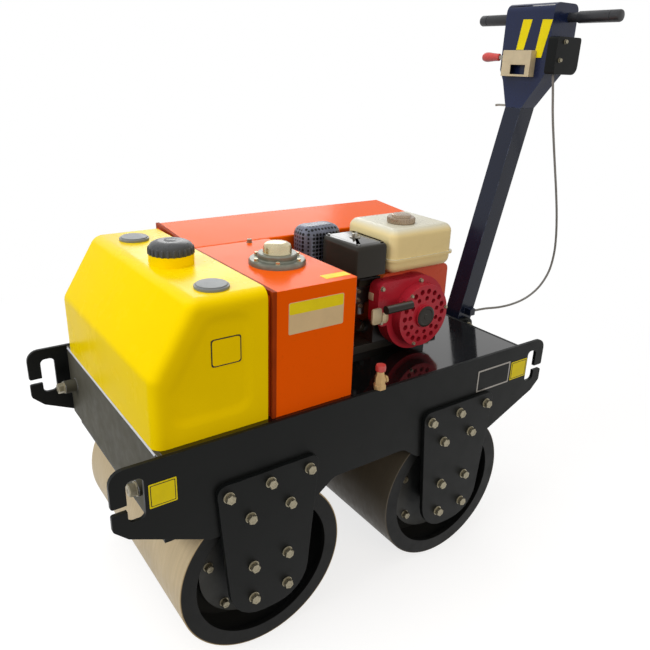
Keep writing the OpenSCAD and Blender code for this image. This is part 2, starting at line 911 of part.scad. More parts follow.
module fuel_cap() {
    color("tan")
        placed()
            translate([fuel_cap_x, fuel_cap_y, fuel_top_h]) {
                cylinder(h = fuel_cap_h, r = fuel_cap_r, $fn = round_n);
                cylinder(h = fuel_cap_h + fuel_cap_top_h, r = fuel_cap_top_r, $fn = round_n);
            }
}

// Upright block with rounded upright edges and a rounded top.
module rounded_post(x1, x2, y1, y2, z1, z2, r, top_r) {
    outline = [[x1, y1, r], [x1, y2, r], [x2, y2, r], [x2, y1, r]];
    ringed([
        [for (q = rounded(outline)) [q[0], q[1], z1]],
        for (i = [0:corner_n])
            [for (q = rounded(outline, top_r * (1 - cos(i * 90 / corner_n))))
                [q[0], q[1], z2 - top_r + top_r * sin(i * 90 / corner_n)]]
    ]);
}

// Box on a neck that stands on the carburettor.
module air_cleaner() {
    color("black")
        placed() {
            rounded_post(cleaner_x1, cleaner_x2, cleaner_y1, cleaner_y2, cleaner_low_h, cleaner_top_h,
                cleaner_r, cleaner_top_r);
            translate([carb_neck_x, carb_y1, carb_body_top_h])
                cube([neck_l, carb_y2 - carb_y1, cleaner_low_h - carb_body_top_h]);
        }
}

module muffler() {
    color("black")
        placed() {
            rounded_post(muffler_x1, muffler_x2, muffler_y1, muffler_y2, cleaner_low_h, muffler_top_h,
                muffler_r, muffler_top_r);
            translate([block_x2, block_y1, neck_low_h])
                cube([neck_l, neck_w, cleaner_low_h - neck_low_h]);
        }
}

module drain_valve() {
    color("peru")
        placed()
            translate([valve_x, valve_y, hook_top_h]) {
                cylinder(h = valve_h, r = valve_r, $fn = round_n);
                cylinder(h = valve_h + valve_knob_h, r = valve_knob_r, $fn = round_n);
                translate([0, 0, valve_h / 2])
                    rotate([0, 90, 0])
                        cylinder(h = valve_spout_l, r = valve_spout_r, $fn = round_n);
            }
}

// Point of the arm's side outline: across the arm and along it from the pivot.
function arm_point(across, along) = [
    pivot_x + across * cos(arm_lean) - along * sin(arm_lean),
    pivot_h + across * sin(arm_lean) + along * cos(arm_lean)
];

// Length along the arm at which a line across it meets the head's lower face.
function arm_end(across) = (head_neck_h - pivot_h - across * sin(arm_lean)) / cos(arm_lean);

// Outline point with a corner radius.
function with_r(p, r) = [p[0], p[1], r];

module handle_arm() {
    color("midnightblue")
        placed() {
            difference() {
                slab_y(rounded([
                    with_r(arm_point(-arm_half, -arm_half), foot_r),
                    with_r(arm_point(arm_half, -arm_half), foot_r),
                    with_r(arm_point(arm_half, arm_end(arm_half)), 0),
                    with_r(arm_point(-arm_half, arm_end(-arm_half)), 0)
                ]), -arm_half, arm_half);
                slab_y([
                    arm_point(-arm_in, foot_l), arm_point(arm_in, foot_l),
                    arm_point(arm_in, arm_end(arm_in) + over), arm_point(-arm_in, arm_end(-arm_in) + over)
                ], -arm_in, arm_in);
                bar_y(pivot_x, pivot_h, arm_bore_r, -arm_half - over, arm_half + over);
            }
            translate([clip_x, arm_half, clip_h - clip_w / 2])
                cube([clip_w, clip_reach, clip_w]);
        }
}

// Sheet housing, open at the back, narrowing to the arm below.
module handle_head() {
    color("midnightblue")
        placed()
            difference() {
                intersection() {
                    slab_y(rounded(head_side), -head_half_w, head_half_w);
                    slab_x(head_front, head_rear_x - over, head_neck_front_x + over);
                }
                translate([head_rear_x - over, head_t - head_half_w, head_low_h])
                    cube([head_d - head_t + over, head_w - 2 * head_t, head_side_h - head_t]);
            }
}

module grip_left() {
    color("black") placed() bar_y(grip_x, grip_z, grip_r, head_half_w, grip_half_span);
}

module grip_right() {
    color("black") placed() bar_y(grip_x, grip_z, grip_r, -grip_half_span, -head_half_w);
}

module control_box() {
    color("black")
        placed()
            slab_y(rounded([
                [box_rear_x, box_low_h, box_rear_r], [box_rear_x + box_d, box_low_h, box_corner_r],
                [box_rear_x + box_d, box_top_h, box_corner_r], [box_rear_x, box_top_h, box_corner_r]
            ]), head_half_w, head_half_w + box_w);
}

// Slotted plate on a foot in front of the head.
module lever_plate() {
    color("tan")
        placed()
            difference() {
                translate([head_front_x, lever_plate_y1, lever_plate_h0])
                    cube([lever_plate_foot, lever_plate_w, lever_plate_h]);
                translate([head_front_x - over, lever_plate_y1 + lever_plate_t, lever_plate_h0 - over])
                    cube([lever_plate_foot - lever_plate_t + over, lever_plate_w - 2 * lever_plate_t,
                        lever_plate_h - lever_plate_t + over]);
                translate([head_front_x, lever_slot_y - lever_slot_l / 2, lever_plate_h0 + lever_slot_h])
                    cube([lever_plate_foot + over, lever_slot_l, lever_slot_w]);
            }
}

module drive_lever() {
    color("firebrick")
        placed() {
            bar_y(lever_x, lever_z, lever_r, lever_y - lever_l, lever_y);
            bar_y(lever_x, lever_z, lever_knob_r, lever_y - lever_l - lever_knob_l, lever_y - lever_l);
        }
}

// Smooth curve through the route, one piece of it at a time.
function curve(a, b, c, d, t) =
    (2 * b + (c - a) * t + (2 * a - 5 * b + 4 * c - d) * t ^ 2 + (3 * b - a - 3 * c + d) * t ^ 3) / 2;
function held(i) = max(0, min(len(cable_route) - 1, i));
function route_share(i) = held(i) / (len(cable_route) - 1);
function route_at(i) = cable_route[held(i)] + (1 - route_share(i)) * (cable_exit - cable_route[0])
    + route_share(i) * (cable_end - cable_route[len(cable_route) - 1]);
cable_line = [
    for (i = [0:len(cable_route) - 2], k = [0:cable_steps - 1])
        curve(route_at(i - 1), route_at(i), route_at(i + 1), route_at(i + 2), k / cable_steps),
    route_at(len(cable_route) - 1)
];
function line_way(i) = unit(cable_line[min(len(cable_line) - 1, i + 1)] - cable_line[max(0, i - 1)]);
function ring_side(i) = unit(cross(line_way(i), [0, 1, 0]));
function ring_up(i) = cross(ring_side(i), line_way(i));
function ring_point(i, turn) = cable_line[i] + cable_r * (cos(turn) * ring_side(i) + sin(turn) * ring_up(i));
cable_rings = [
    for (i = [0:len(cable_line) - 1])
        [for (k = [0:cable_sides - 1]) ring_point(i, k * 360 / cable_sides)]
];

module control_cable() {
    color("black") placed() ringed(cable_rings);
}

front_drum();
rear_drum();
side_plate_left();
side_plate_right();
front_cross_plate();
rear_cross_plate();
deck();
front_bracket_left();
front_bracket_right();
rear_bracket_left();
rear_bracket_right();
front_scraper();
rear_scraper();
handle_bracket();
water_tank();
filler_cap();
tank_plugs();
hydraulic_tank();
breather_cap();
belt_hood();
engine_base();
engine_block();
carburettor();
fan_cover();
recoil_starter();
starter_grip();
fuel_tank();
fuel_cap();
air_cleaner();
muffler();
drain_valve();
handle_arm();
handle_head();
grip_left();
grip_right();
control_box();
lever_plate();
drive_lever();
control_cable();
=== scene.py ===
"""Finishes, fasteners and small parts of a walk-behind vibratory roller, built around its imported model."""
import math

import bmesh
import bpy
from mathutils import Matrix, Vector


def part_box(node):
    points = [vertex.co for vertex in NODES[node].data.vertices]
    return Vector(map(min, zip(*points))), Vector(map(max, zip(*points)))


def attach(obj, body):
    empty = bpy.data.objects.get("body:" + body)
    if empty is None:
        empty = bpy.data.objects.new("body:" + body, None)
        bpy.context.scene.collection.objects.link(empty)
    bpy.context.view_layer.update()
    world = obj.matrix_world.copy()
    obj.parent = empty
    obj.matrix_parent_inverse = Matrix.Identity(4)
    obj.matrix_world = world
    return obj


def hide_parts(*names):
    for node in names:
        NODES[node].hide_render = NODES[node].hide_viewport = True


bl_info = {
    "name": "Vibratory roller",
    "version": (1, 0, 0),
    "blender": (4, 5, 0),
    "location": "View3D > Sidebar > Roller",
    "description": "Dresses the packed model of a walk-behind vibratory roller",
    "category": "Object",
}

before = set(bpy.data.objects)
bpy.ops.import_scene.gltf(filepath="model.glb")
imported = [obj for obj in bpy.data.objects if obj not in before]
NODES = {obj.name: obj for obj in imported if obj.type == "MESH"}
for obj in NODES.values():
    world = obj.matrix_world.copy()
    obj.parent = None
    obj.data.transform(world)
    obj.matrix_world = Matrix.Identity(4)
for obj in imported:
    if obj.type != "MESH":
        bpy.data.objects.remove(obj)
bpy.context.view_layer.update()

ALONG_X = Vector((1, 0, 0))
ALONG_Y = Vector((0, 1, 0))
UP = Vector((0, 0, 1))

# Beyond this angle between two faces, the edge is sharp.
SOFT_ANGLE = math.radians(32.0)


def middle_of(name):
    """The middle of a node's box."""
    low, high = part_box(name)
    return (low + high) / 2


def face_of(name, way):
    """The middle of the side of a node's box that faces a direction along an axis."""
    low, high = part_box(name)
    return Vector([(b + a) / 2 + (b - a) / 2 * w for a, b, w in zip(low, high, way)])


# The machine's middle lies halfway between the drum axles.
FRONT_AXLE = middle_of("front_drum").x
REAR_AXLE = middle_of("rear_drum").x
MIDDLE = (FRONT_AXLE + REAR_AXLE) / 2
DRUM_RADIUS = (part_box("front_drum")[1].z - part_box("front_drum")[0].z) / 2
# A drum's end from the centre line: the back of its ring, and in the hollow its hub with a circle of bolts.
RING_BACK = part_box("front_drum")[1].y - 0.0115
HUB_FACE = 0.268
HUB_RADIUS = 0.148
HUB_BOLT_CIRCLE = 0.128


def at(x, y, z):
    """A point from the machine's middle, the centre line and the ground."""
    return Vector((MIDDLE + x, y, z))


# Colours and sizes


# Display colours by name, with what they are for.
COLOURS = {
    "tank_yellow": ("Moulded water tank", 245, 212, 3),
    "hood_orange": ("Hydraulic tank and belt hood", 242, 95, 5),
    "frame_black": ("Side plates, rear cross plate, brackets and scrapers", 17, 19, 19),
    "deck_black": ("Glossy deck", 14, 15, 15),
    "cross_grey": ("Dull front cross plate", 74, 72, 62),
    "head_navy": ("Handle head", 22, 32, 64),
    "arm_navy": ("Handle arm", 21, 27, 44),
    "roll_steel": ("Rolling face of the drums", 196, 177, 142),
    # Painted shade: this colour darkens the rear drum's rolling face, where shade falls under the machine.
    "roll_dirt": ("Dull film on the rear drum", 60, 60, 60),
    "drum_black": ("Ends of the drums", 18, 19, 19),
    "hub_grey": ("Raised hubs in the drum ends", 62, 64, 64),
    "bolt_zinc": ("Bolts, nuts and washers", 150, 143, 122),
    "starter_red": ("Recoil starter and fan cover", 174, 38, 54),
    "cover_orange": ("Back plate of the fan cover", 244, 128, 56),
    "fuel_ivory": ("Fuel tank", 230, 212, 158),
    "engine_black": ("Engine base", 40, 39, 36),
    "guard_metal": ("Holed guard of the muffler", 112, 117, 132),
    "gloss_black": ("Air cleaner, oil filler and starter grip", 46, 44, 39),
    "engine_alloy": ("Crankcase, cylinder and carburettor", 120, 117, 108),
    "cap_black": ("Filler cap of the water tank", 66, 68, 70),
    "plug_grey": ("Plugs of the water tank", 120, 124, 126),
    "fuel_cap_metal": ("Cap of the fuel tank", 156, 138, 118),
    "breather_metal": ("Breather of the hydraulic tank", 196, 184, 150),
    "flange_grey": ("Flange under the breather", 118, 121, 110),
    "grip_black": ("Handle grips", 46, 47, 50),
    "lever_plate": ("Zinc plate of the drive lever", 196, 182, 150),
    "knob_red": ("Knobs of the lever and the valve", 198, 52, 46),
    "brass": ("Drain valve", 184, 152, 104),
    "rubber": ("Spark plug's cover and lead", 28, 28, 30),
    # Painted shade: a dark strip laid over the seam between the two tanks, where shade falls in the gap.
    "trim_brown": ("Edge trim between the two tanks", 146, 54, 14),
    "cable_grey": ("Sheath of the control cable", 132, 131, 128),
    "sign_yellow": ("Blank stickers and stripes", 232, 214, 18),
    "sign_black": ("Rims of the blank signs", 30, 28, 22),
    "label_beige": ("Blank label on the hydraulic tank", 214, 190, 148),
    "plate_grey": ("Blank data plate", 150, 146, 140),
    "edge_bright": ("Bright bead at the deck's front edge", 196, 200, 210),
    "steel": ("Bare steel of small parts", 150, 146, 136),
}


def linear(*values):
    """A display colour of 0 to 255 as linear light."""
    shares = [v / 255 for v in values]
    return tuple(s / 12.92 if s <= 0.04045 else ((s + 0.055) / 1.055) ** 2.4 for s in shares)


def colour(name, description, *values):
    """A colour property, labelled by its name in plain words."""
    label = name.replace("_", " ").capitalize()
    return bpy.props.FloatVectorProperty(
        name=label, description=description, subtype="COLOR", size=3, min=0.0, max=1.0,
        default=linear(*values)
    )


def length(name, description, metres):
    """A length property."""
    return bpy.props.FloatProperty(
        name=name, description=description, default=metres, min=0.0, unit="LENGTH", precision=4
    )


def power(name, description, watts):
    """A property for a lamp's power."""
    return bpy.props.FloatProperty(
        name=name, description=description, default=watts, min=0.0, subtype="POWER"
    )


class RollerColours(bpy.types.PropertyGroup):
    """Colours of the roller's finishes."""

    __annotations__ = {name: colour(name, *row) for name, row in COLOURS.items()}


class RollerSizes(bpy.types.PropertyGroup):
    """Sizes of the fasteners and edges."""

    bolt_head: length("Bolt head", "Width across the flats of a bracket bolt", 0.020)
    small_bolt_head: length("Small bolt head", "Width across the flats of a cover bolt", 0.012)
    sheet_edge: length("Sheet edge", "Rounding of a cut plate's edges", 0.0012)
    cover_edge: length("Cover edge", "Rounding of a folded cover's edges", 0.003)


class RollerStage(bpy.types.PropertyGroup):
    """Camera, lamps and floor."""

    camera_spot: bpy.props.FloatVectorProperty(
        name="Camera spot", description="Camera from the machine's middle", subtype="TRANSLATION", size=3,
        unit="LENGTH", default=(0.912, 1.3731, 1.314)
    )
    camera_turn: bpy.props.FloatVectorProperty(
        name="Camera turn", description="Azimuth, elevation and roll of the camera", subtype="EULER", size=3,
        unit="ROTATION", default=(0.9434, 0.3766, 0.0348)
    )
    camera_lens: bpy.props.FloatProperty(
        name="Camera lens", description="Focal length in millimetres", default=36.28, min=10.0
    )
    floor_side: length("Floor side", "Side of the floor", 40.0)
    key_power: power("Key power", "Power of the lamp ahead of the machine", 112.0)
    top_power: power("Top power", "Power of the lamp above the machine", 63.0)
    side_power: power("Side power", "Power of the lamp beside the machine", 72.0)
    back_power: power("Back power", "Power of the low lamp behind the machine", 29.0)
    room_light: bpy.props.FloatProperty(
        name="Room light", description="Strength of the even light from all around", default=0.34, min=0.0
    )


# Finishes


def assign(made, **settings):
    """Sets the named values of something just made."""
    for key, value in settings.items():
        setattr(made, key, value)
    return made


def node(tree, kind, inputs=None, **settings):
    """A shader or geometry node with its settings, values and links."""
    made = assign(tree.nodes.new(kind), **settings)
    for key, value in (inputs or {}).items():
        if isinstance(value, bpy.types.NodeSocket):
            tree.links.new(value, made.inputs[key])
        else:
            made.inputs[key].default_value = value
    return made


def maths(tree, operation, *values):
    """The output of one step of arithmetic on numbers or sockets."""
    return node(tree, "ShaderNodeMath", dict(enumerate(values)), operation=operation).outputs[0]


def split(tree, vector):
    """The outputs X, Y and Z of a vector."""
    return node(tree, "ShaderNodeSeparateXYZ", {"Vector": vector}).outputs


def scaled(rgb, share=1.0):
    """A colour made lighter or darker, as a socket's four values."""
    return (*[min(1.0, c * share) for c in rgb], 1.0)


def blend_colour(tree, factor, first, second):
    """The output of a mix of two colours."""
    return node(tree, "ShaderNodeMix", {0: factor, 6: first, 7: second}, data_type="RGBA").outputs[2]


def ranged(tree, value, low, high, first=0.0, second=1.0):
    """The output of a range mapped to another."""
    made = node(
        tree, "ShaderNodeMapRange",
        {"Value": value, "From Min": low, "From Max": high, "To Min": first, "To Max": second}
    )
    return made.outputs["Result"]


def noise(tree, spot, scale, detail):
    """The output of a noise over the object's own coordinates."""
    settings = {"Vector": spot, "Scale": scale, "Detail": detail, "Roughness": 0.6}
    return node(tree, "ShaderNodeTexNoise", settings).outputs["Fac"]


def mottled(tree, clouds, rgb, dark, light):
    """A colour that a noise makes darker and lighter."""
    return blend_colour(tree, ranged(tree, clouds, 0.3, 0.7), scaled(rgb, dark), scaled(rgb, light))


def edge_mask(tree, width):
    """Bright along outer edges, from the difference between the flat and the rounded normal."""
    soft = node(tree, "ShaderNodeBevel", {"Radius": width}, samples=6)
    flat = node(tree, "ShaderNodeNewGeometry")
    dot = node(
        tree, "ShaderNodeVectorMath", {0: soft.outputs["Normal"], 1: flat.outputs["Normal"]},
        operation="DOT_PRODUCT"
    )
    return ranged(tree, dot.outputs["Value"], 0.99, 0.86)


def drum_colours(hue, tree, spot):
    """Bare steel with turned streaks on the rolling face, darkened on the rear drum as painted shade, and
    black ends that are painted greyer in their hollows as painted light.
    """
    x, y, z = split(tree, spot)
    span = FRONT_AXLE - REAR_AXLE
    from_rear = maths(tree, "SUBTRACT", x, REAR_AXLE - span / 2)
    across = maths(tree, "SUBTRACT", maths(tree, "MODULO", from_rear, span), span / 2)
    rise = maths(tree, "SUBTRACT", z, DRUM_RADIUS)
    flat = node(tree, "ShaderNodeCombineXYZ", {"X": across, "Z": rise}).outputs[0]
    reach = node(tree, "ShaderNodeVectorMath", {0: flat}, operation="LENGTH").outputs["Value"]
    rings = node(tree, "ShaderNodeMapping", {"Vector": spot, "Scale": (0.6, 26.0, 0.6)}).outputs["Vector"]
    steel = mottled(tree, noise(tree, rings, 9.0, 8.0), hue.roll_steel, 0.91, 1.07)
    patch = ranged(tree, noise(tree, spot, 5.0, 8.0), 0.5, 0.72, 0.0, 0.5)
    steel = blend_colour(tree, patch, steel, scaled(hue.roll_steel, 0.66))
    # Painted shade: the rear drum's rolling face is blended towards a darker colour.
    rear_shade = ranged(tree, x, MIDDLE - 0.02, MIDDLE + 0.02, 0.85, 0.0)
    steel = blend_colour(tree, rear_shade, steel, scaled(hue.roll_dirt))
    clouds = noise(tree, spot, 14.0, 6.0)
    ends = blend_colour(tree, clouds, scaled(hue.drum_black, 0.85), scaled(hue.drum_black, 1.25))
    # Painted light: the hollows of the drum ends are painted lighter than the ends, standing in for light
    # that reaches into them.
    lit_hollow = ranged(tree, maths(tree, "ABSOLUTE", y), RING_BACK - 0.0005, RING_BACK + 0.0005, 1.0, 0.0)
    ends = blend_colour(tree, lit_hollow, ends, scaled(hue.drum_black, 4.0))
    clouds = noise(tree, spot, 30.0, 7.0)
    scuffed = blend_colour(tree, clouds, scaled(hue.hub_grey, 0.8), scaled(hue.hub_grey, 1.3))
    on_hub = ranged(tree, reach, HUB_RADIUS - 0.0012, HUB_RADIUS + 0.0006, 1.0, 0.0)
    on_roll = ranged(tree, reach, DRUM_RADIUS - 0.0035, DRUM_RADIUS - 0.0015)
    return blend_colour(tree, on_roll, blend_colour(tree, on_hub, ends, scuffed), steel)


def cover_colours(hue, tree, spot):
    """The fan cover's flat back plate in orange, its round front in red."""
    red = mottled(tree, noise(tree, spot, 9.0, 5.0), hue.starter_red, 0.94, 1.06)
    in_front = ranged(tree, split(tree, spot)["Y"], 0.1492, 0.1504)
    return blend_colour(tree, in_front, scaled(hue.cover_orange), red)


def guard_colours(hue, tree, spot):
    """Sheet metal with rows of holes, painted near black as painted shade."""
    cells = node(tree, "ShaderNodeTexVoronoi", {"Vector": spot, "Scale": 96.0, "Randomness": 0.0})
    metal = mottled(tree, noise(tree, spot, 26.0, 6.0), hue.guard_metal, 0.55, 1.15)
    solid = ranged(tree, cells.outputs["Distance"], 0.36, 0.44)
    # Painted shade: the holes are near-black dots on the metal.
    return blend_colour(tree, solid, (0.004, 0.004, 0.004, 1.0), metal)


# Each finish has its roughness, its specular level, the strength and scale of its mottle, the strength and
# scale of its grain, and its extras. A lighter edge has a display colour, a width in metres and a share: worn
# paint on most finishes, a painted highlight on the navy, deck and front cross plate finishes.
FINISHES = {
    "tank_yellow": (0.26, 0.01, 0.03, 3.0, 0.10, 260.0, {"rough_spread": 0.05, "top_specular": 0.16}),
    "hood_orange": (0.20, 0.01, 0.03, 2.5, 0.02, 120.0, {"rough_spread": 0.04, "top_specular": 0.035}),
    "frame_black": (0.40, 0.12, 0.16, 6.0, 0.08, 420.0, {"wear_and_sheen": ((86, 88, 90), 0.0016, 0.5)}),
    # The deck's light bluish edges are a painted highlight.
    "deck_black": (
        0.08, 0.85, 0.15, 4.0, 0.01, 160.0, {"rough_spread": 0.03, "wear_and_sheen": ((130, 134, 150), 0.002, 0.6)}
    ),
    # The near-white edges of the front cross plate are a painted highlight.
    "cross_grey": (0.55, 0.08, 0.14, 9.0, 0.12, 420.0, {"wear_and_sheen": ((206, 210, 222), 0.003, 0.9)}),
    # The light bluish edges of the head and the arm are a painted highlight.
    "head_navy": (0.25, 0.26, 0.10, 5.0, 0.05, 260.0, {"coat": 0.06, "wear_and_sheen": ((96, 108, 140), 0.002, 0.6)}),
    "arm_navy": (0.25, 0.26, 0.10, 5.0, 0.05, 260.0, {"coat": 0.06, "wear_and_sheen": ((104, 114, 140), 0.0026, 0.8)}),
    "drum": (0.44, 0.14, 0.06, 7.0, 0.12, 300.0, {
        "base": "drum_black", "metallic": 0.05, "stretch": (1, 3, 1), "rough_spread": 0.10,
        "colour_from": drum_colours
    }),
    "bolt_zinc": (0.34, 0.5, 0.14, 60.0, 0.10, 900.0, {"metallic": 0.75}),
    "starter_red": (0.32, 0.22, 0.06, 9.0, 0.08, 420.0, {"wear_and_sheen": ((206, 96, 104), 0.0015, 0.4)}),
    "fan_red": (0.32, 0.18, 0.06, 9.0, 0.08, 420.0, {"base": "starter_red", "colour_from": cover_colours}),
    # The fuel tank's lighter, greyer top is a painted sheen.
    "fuel_ivory": (0.30, 0.10, 0.03, 5.0, 0.05, 220.0, {"painted_top_sheen": (206, 203, 184), "top_specular": 0.4}),
    "engine_black": (0.36, 0.34, 0.14, 12.0, 0.14, 700.0, {"wear_and_sheen": ((112, 108, 100), 0.0015, 0.4)}),
    "gloss_black": (0.14, 0.16, 0.10, 12.0, 0.03, 500.0, {
        "rough_spread": 0.05, "wear_and_sheen": ((104, 102, 96), 0.0015, 0.3), "top_specular": 1.0
    }),
    "guard_metal": (0.30, 0.3, 0.06, 7.0, 0.05, 500.0, {
        "base": "engine_black", "metallic": 0.35, "colour_from": guard_colours
    }),
    "engine_alloy": (0.46, 0.5, 0.16, 24.0, 0.35, 900.0, {
        "metallic": 0.7, "wear_and_sheen": ((190, 188, 180), 0.0012, 0.5)
    }),
    "cap_black": (0.30, 0.24, 0.10, 30.0, 0.14, 800.0, {
        "wear_and_sheen": ((128, 130, 134), 0.0012, 0.5), "top_specular": 0.36
    }),
    "plug_grey": (0.40, 0.3, 0.08, 30.0, 0.14, 800.0, {}),
    "breather_metal": (0.24, 0.5, 0.10, 40.0, 0.06, 900.0, {"metallic": 0.85}),
    "fuel_cap_metal": (0.30, 0.5, 0.14, 40.0, 0.08, 900.0, {"metallic": 0.7}),
    "flange_grey": (0.36, 0.5, 0.22, 50.0, 0.10, 900.0, {
        "metallic": 0.5, "wear_and_sheen": ((170, 168, 150), 0.0014, 0.6)
    }),
    "grip_black": (0.34, 0.36, 0.10, 30.0, 0.10, 1400.0, {}),
    "lever_plate": (0.40, 0.4, 0.10, 30.0, 0.08, 700.0, {
        "metallic": 0.25, "wear_and_sheen": ((150, 146, 136), 0.001, 0.4)
    }),
    "knob_red": (0.28, 0.4, 0.06, 40.0, 0.05, 500.0, {}),
    "brass": (0.36, 0.5, 0.12, 60.0, 0.12, 900.0, {"metallic": 0.6}),
    "trim_brown": (0.5, 0.05, 0.12, 20.0, 0.10, 500.0, {}),
    "cable_grey": (0.5, 0.2, 0.12, 40.0, 0.15, 1200.0, {}),
    "rubber": (0.52, 0.34, 0.12, 40.0, 0.22, 1200.0, {}),
    "sign_yellow": (0.42, 0.2, 0.05, 30.0, 0.04, 500.0, {}),
    "sign_black": (0.45, 0.2, 0.1, 40.0, 0.04, 500.0, {}),
    "label_beige": (0.46, 0.2, 0.05, 24.0, 0.04, 600.0, {}),
    "plate_grey": (0.34, 0.5, 0.08, 30.0, 0.06, 500.0, {"metallic": 0.6, "stretch": (1, 1, 12)}),
    "edge_bright": (0.35, 0.4, 0.12, 40.0, 0.08, 900.0, {"metallic": 0.3}),
    "steel": (0.32, 0.5, 0.12, 40.0, 0.08, 900.0, {"metallic": 0.85}),
}


def paint(
    name, hue, rough, specular, mottle, mottle_scale, grain, grain_scale, base=None, metallic=0.0, coat=0.0,
    stretch=(1, 1, 1), rough_spread=0.08, wear_and_sheen=None, painted_top_sheen=None, top_specular=None, colour_from=None
):
    """A material with mottled colour, uneven gloss, a fine grain, lighter edges of wear and painted
    highlight, a top of painted sheen and a shinier top.
    """
    rgb = getattr(hue, base or name)
    made = bpy.data.materials.new(name)
    made.use_nodes = True
    tree = made.node_tree
    shader = tree.nodes["Principled BSDF"]
    sockets = shader.inputs
    spot = node(tree, "ShaderNodeTexCoord").outputs["Object"]
    stretched = node(tree, "ShaderNodeMapping", {"Vector": spot, "Scale": stretch}).outputs["Vector"]
    fine = noise(tree, stretched, grain_scale, 3.0)
    if colour_from:
        shade = colour_from(hue, tree, spot)
    else:
        shade = mottled(tree, noise(tree, spot, mottle_scale, 5.0), rgb, 1 - mottle, 1 + mottle)
    shade = blend_colour(tree, ranged(tree, fine, 0.62, 0.80, 0.0, 0.35), shade, scaled(rgb, 0.75))
    # Lighter outer edges: worn paint on some finishes, a painted highlight on others.
    if wear_and_sheen:
        edge_colour, edge_width, edge_share = wear_and_sheen
        patchy = ranged(tree, noise(tree, spot, 38.0, 6.0), 0.42, 0.62, 0.0, edge_share)
        lighter_edge = maths(tree, "MULTIPLY", edge_mask(tree, edge_width), patchy)
        shade = blend_colour(tree, lighter_edge, shade, scaled(linear(*edge_colour)))
    if painted_top_sheen or top_specular:
        tilt = split(tree, node(tree, "ShaderNodeNewGeometry").outputs["Normal"])["Z"]
    # Painted sheen: faces that turn upwards are blended towards a lighter colour.
    if painted_top_sheen:
        shade = blend_colour(tree, ranged(tree, tilt, 0.4, 0.9), shade, scaled(linear(*painted_top_sheen)))
    tree.links.new(shade, sockets["Base Color"])
    smears = noise(tree, stretched, mottle_scale * 4, 6.0)
    uneven = ranged(tree, smears, 0.3, 0.7, rough - rough_spread, rough + rough_spread)
    tree.links.new(uneven, sockets["Roughness"])
    bump = node(tree, "ShaderNodeBump", {"Strength": grain, "Distance": 0.0006, "Height": fine})
    tree.links.new(bump.outputs["Normal"], sockets["Normal"])
    sockets["Metallic"].default_value = metallic
    sockets["Specular IOR Level"].default_value = specular
    if top_specular:
        tree.links.new(ranged(tree, tilt, 0.60, 0.96, specular, top_specular), sockets["Specular IOR Level"])
    sockets["Coat Weight"].default_value = coat
    sockets["Coat Roughness"].default_value = 0.08
    return made


def finish(name):
    """A finish by its plain name, made when it is first asked for."""
    *row, extras = FINISHES[name]
    hue = bpy.context.scene.roller_colours
    return bpy.data.materials.get(name) or paint(name, hue, *row, **extras)


# Shapes


def facing(spot, way, turn=0.0):
    """A matrix that stands a shape's own Z along a direction at a point."""
    lean = way.normalized().to_track_quat("Z", "Y").to_matrix().to_4x4()
    return Matrix.Translation(spot) @ lean @ Matrix.Rotation(turn, 4, "Z")


def on_wheel(centre, radius, degrees, y):
    """A point on a circle around an axle that runs along Y."""
    angle = math.radians(degrees)
    return Vector((centre.x + radius * math.cos(angle), y, centre.z + radius * math.sin(angle)))


def on_cap(centre, radius, count, height):
    """Evenly spread points on a level circle around a cap."""
    angles = [math.tau * k / count for k in range(count)]
    return [
        Vector((centre.x + radius * math.cos(angle), centre.y + radius * math.sin(angle), height))
        for angle in angles
    ]


def skin(bm, rings, sides, index=0):
    """Faces with a finish by its index between rings of points. A ring may be a single point."""
    for low, high in zip(rings, rings[1:]):
        for k in range(sides):
            corners = []
            for ring, step in ((low, k), (low, k + 1), (high, k + 1), (high, k)):
                vert = ring[step % len(ring)]
                if vert not in corners:
                    corners.append(vert)
            if len(corners) > 2:
                bm.faces.new(corners).material_index = index


def turned(bm, profile, place, sides=48, index=0):
    """A turned shape from radii and heights along its own Z, closed at its ends."""
    points = [(0, profile[0][1]), *profile]
    last_radius, last_height = profile[-1]
    if last_radius:
        points.append((0, last_height))
    rings = []
    for radius, height in points:
        angles = [math.tau * k / sides for k in range(sides if radius else 1)]
        rings.append([
            bm.verts.new(place @ Vector((radius * math.cos(angle), radius * math.sin(angle), height)))
            for angle in angles
        ])
    skin(bm, rings, sides, index)


def round_edges(bm, edges, width):
    """Rounds edges of a shape in two steps."""
    bmesh.ops.bevel(
        bm, geom=edges, offset=width, segments=2, profile=0.5, affect="EDGES", clamp_overlap=True
    )


def block(bm, low, high, edge, place=Matrix.Identity(4)):
    """A box between two corners with rounded edges."""
    low, high = Vector(low), Vector(high)
    size = high - low
    shape = place @ Matrix.Translation((low + high) / 2) @ Matrix.Diagonal((*size, 1.0))
    verts = bmesh.ops.create_cube(bm, size=1.0, matrix=shape)["verts"]
    edges = dict.fromkeys(e for v in verts for e in v.link_edges)
    round_edges(bm, list(edges), min(edge, min(size) * 0.45))


def plate(bm, outline, thick, place, edge=0.0, index=0):
    """A flat plate from an outline in its own X and Y, standing along its own Z."""
    lower = [bm.verts.new(place @ Vector((x, y, 0))) for x, y in outline]
    upper = [bm.verts.new(place @ Vector((x, y, thick))) for x, y in outline]
    ends = [bm.faces.new(lower[::-1]), bm.faces.new(upper)]
    for face in ends:
        face.material_index = index
    skin(bm, [lower, upper], len(outline), index)
    if edge:
        round_edges(bm, list(ends[1].edges), edge)


def rounded_outline(width, height, radius, steps=5):
    """A rectangle's outline with rounded corners, about its middle."""
    points = []
    for corner, (sx, sy) in enumerate(((1, 1), (-1, 1), (-1, -1), (1, -1))):
        for k in range(steps + 1):
            angle = math.pi / 2 * (corner + k / steps)
            points.append((
                sx * (width / 2 - radius) + radius * math.cos(angle),
                sy * (height / 2 - radius) + radius * math.sin(angle),
            ))
    return points


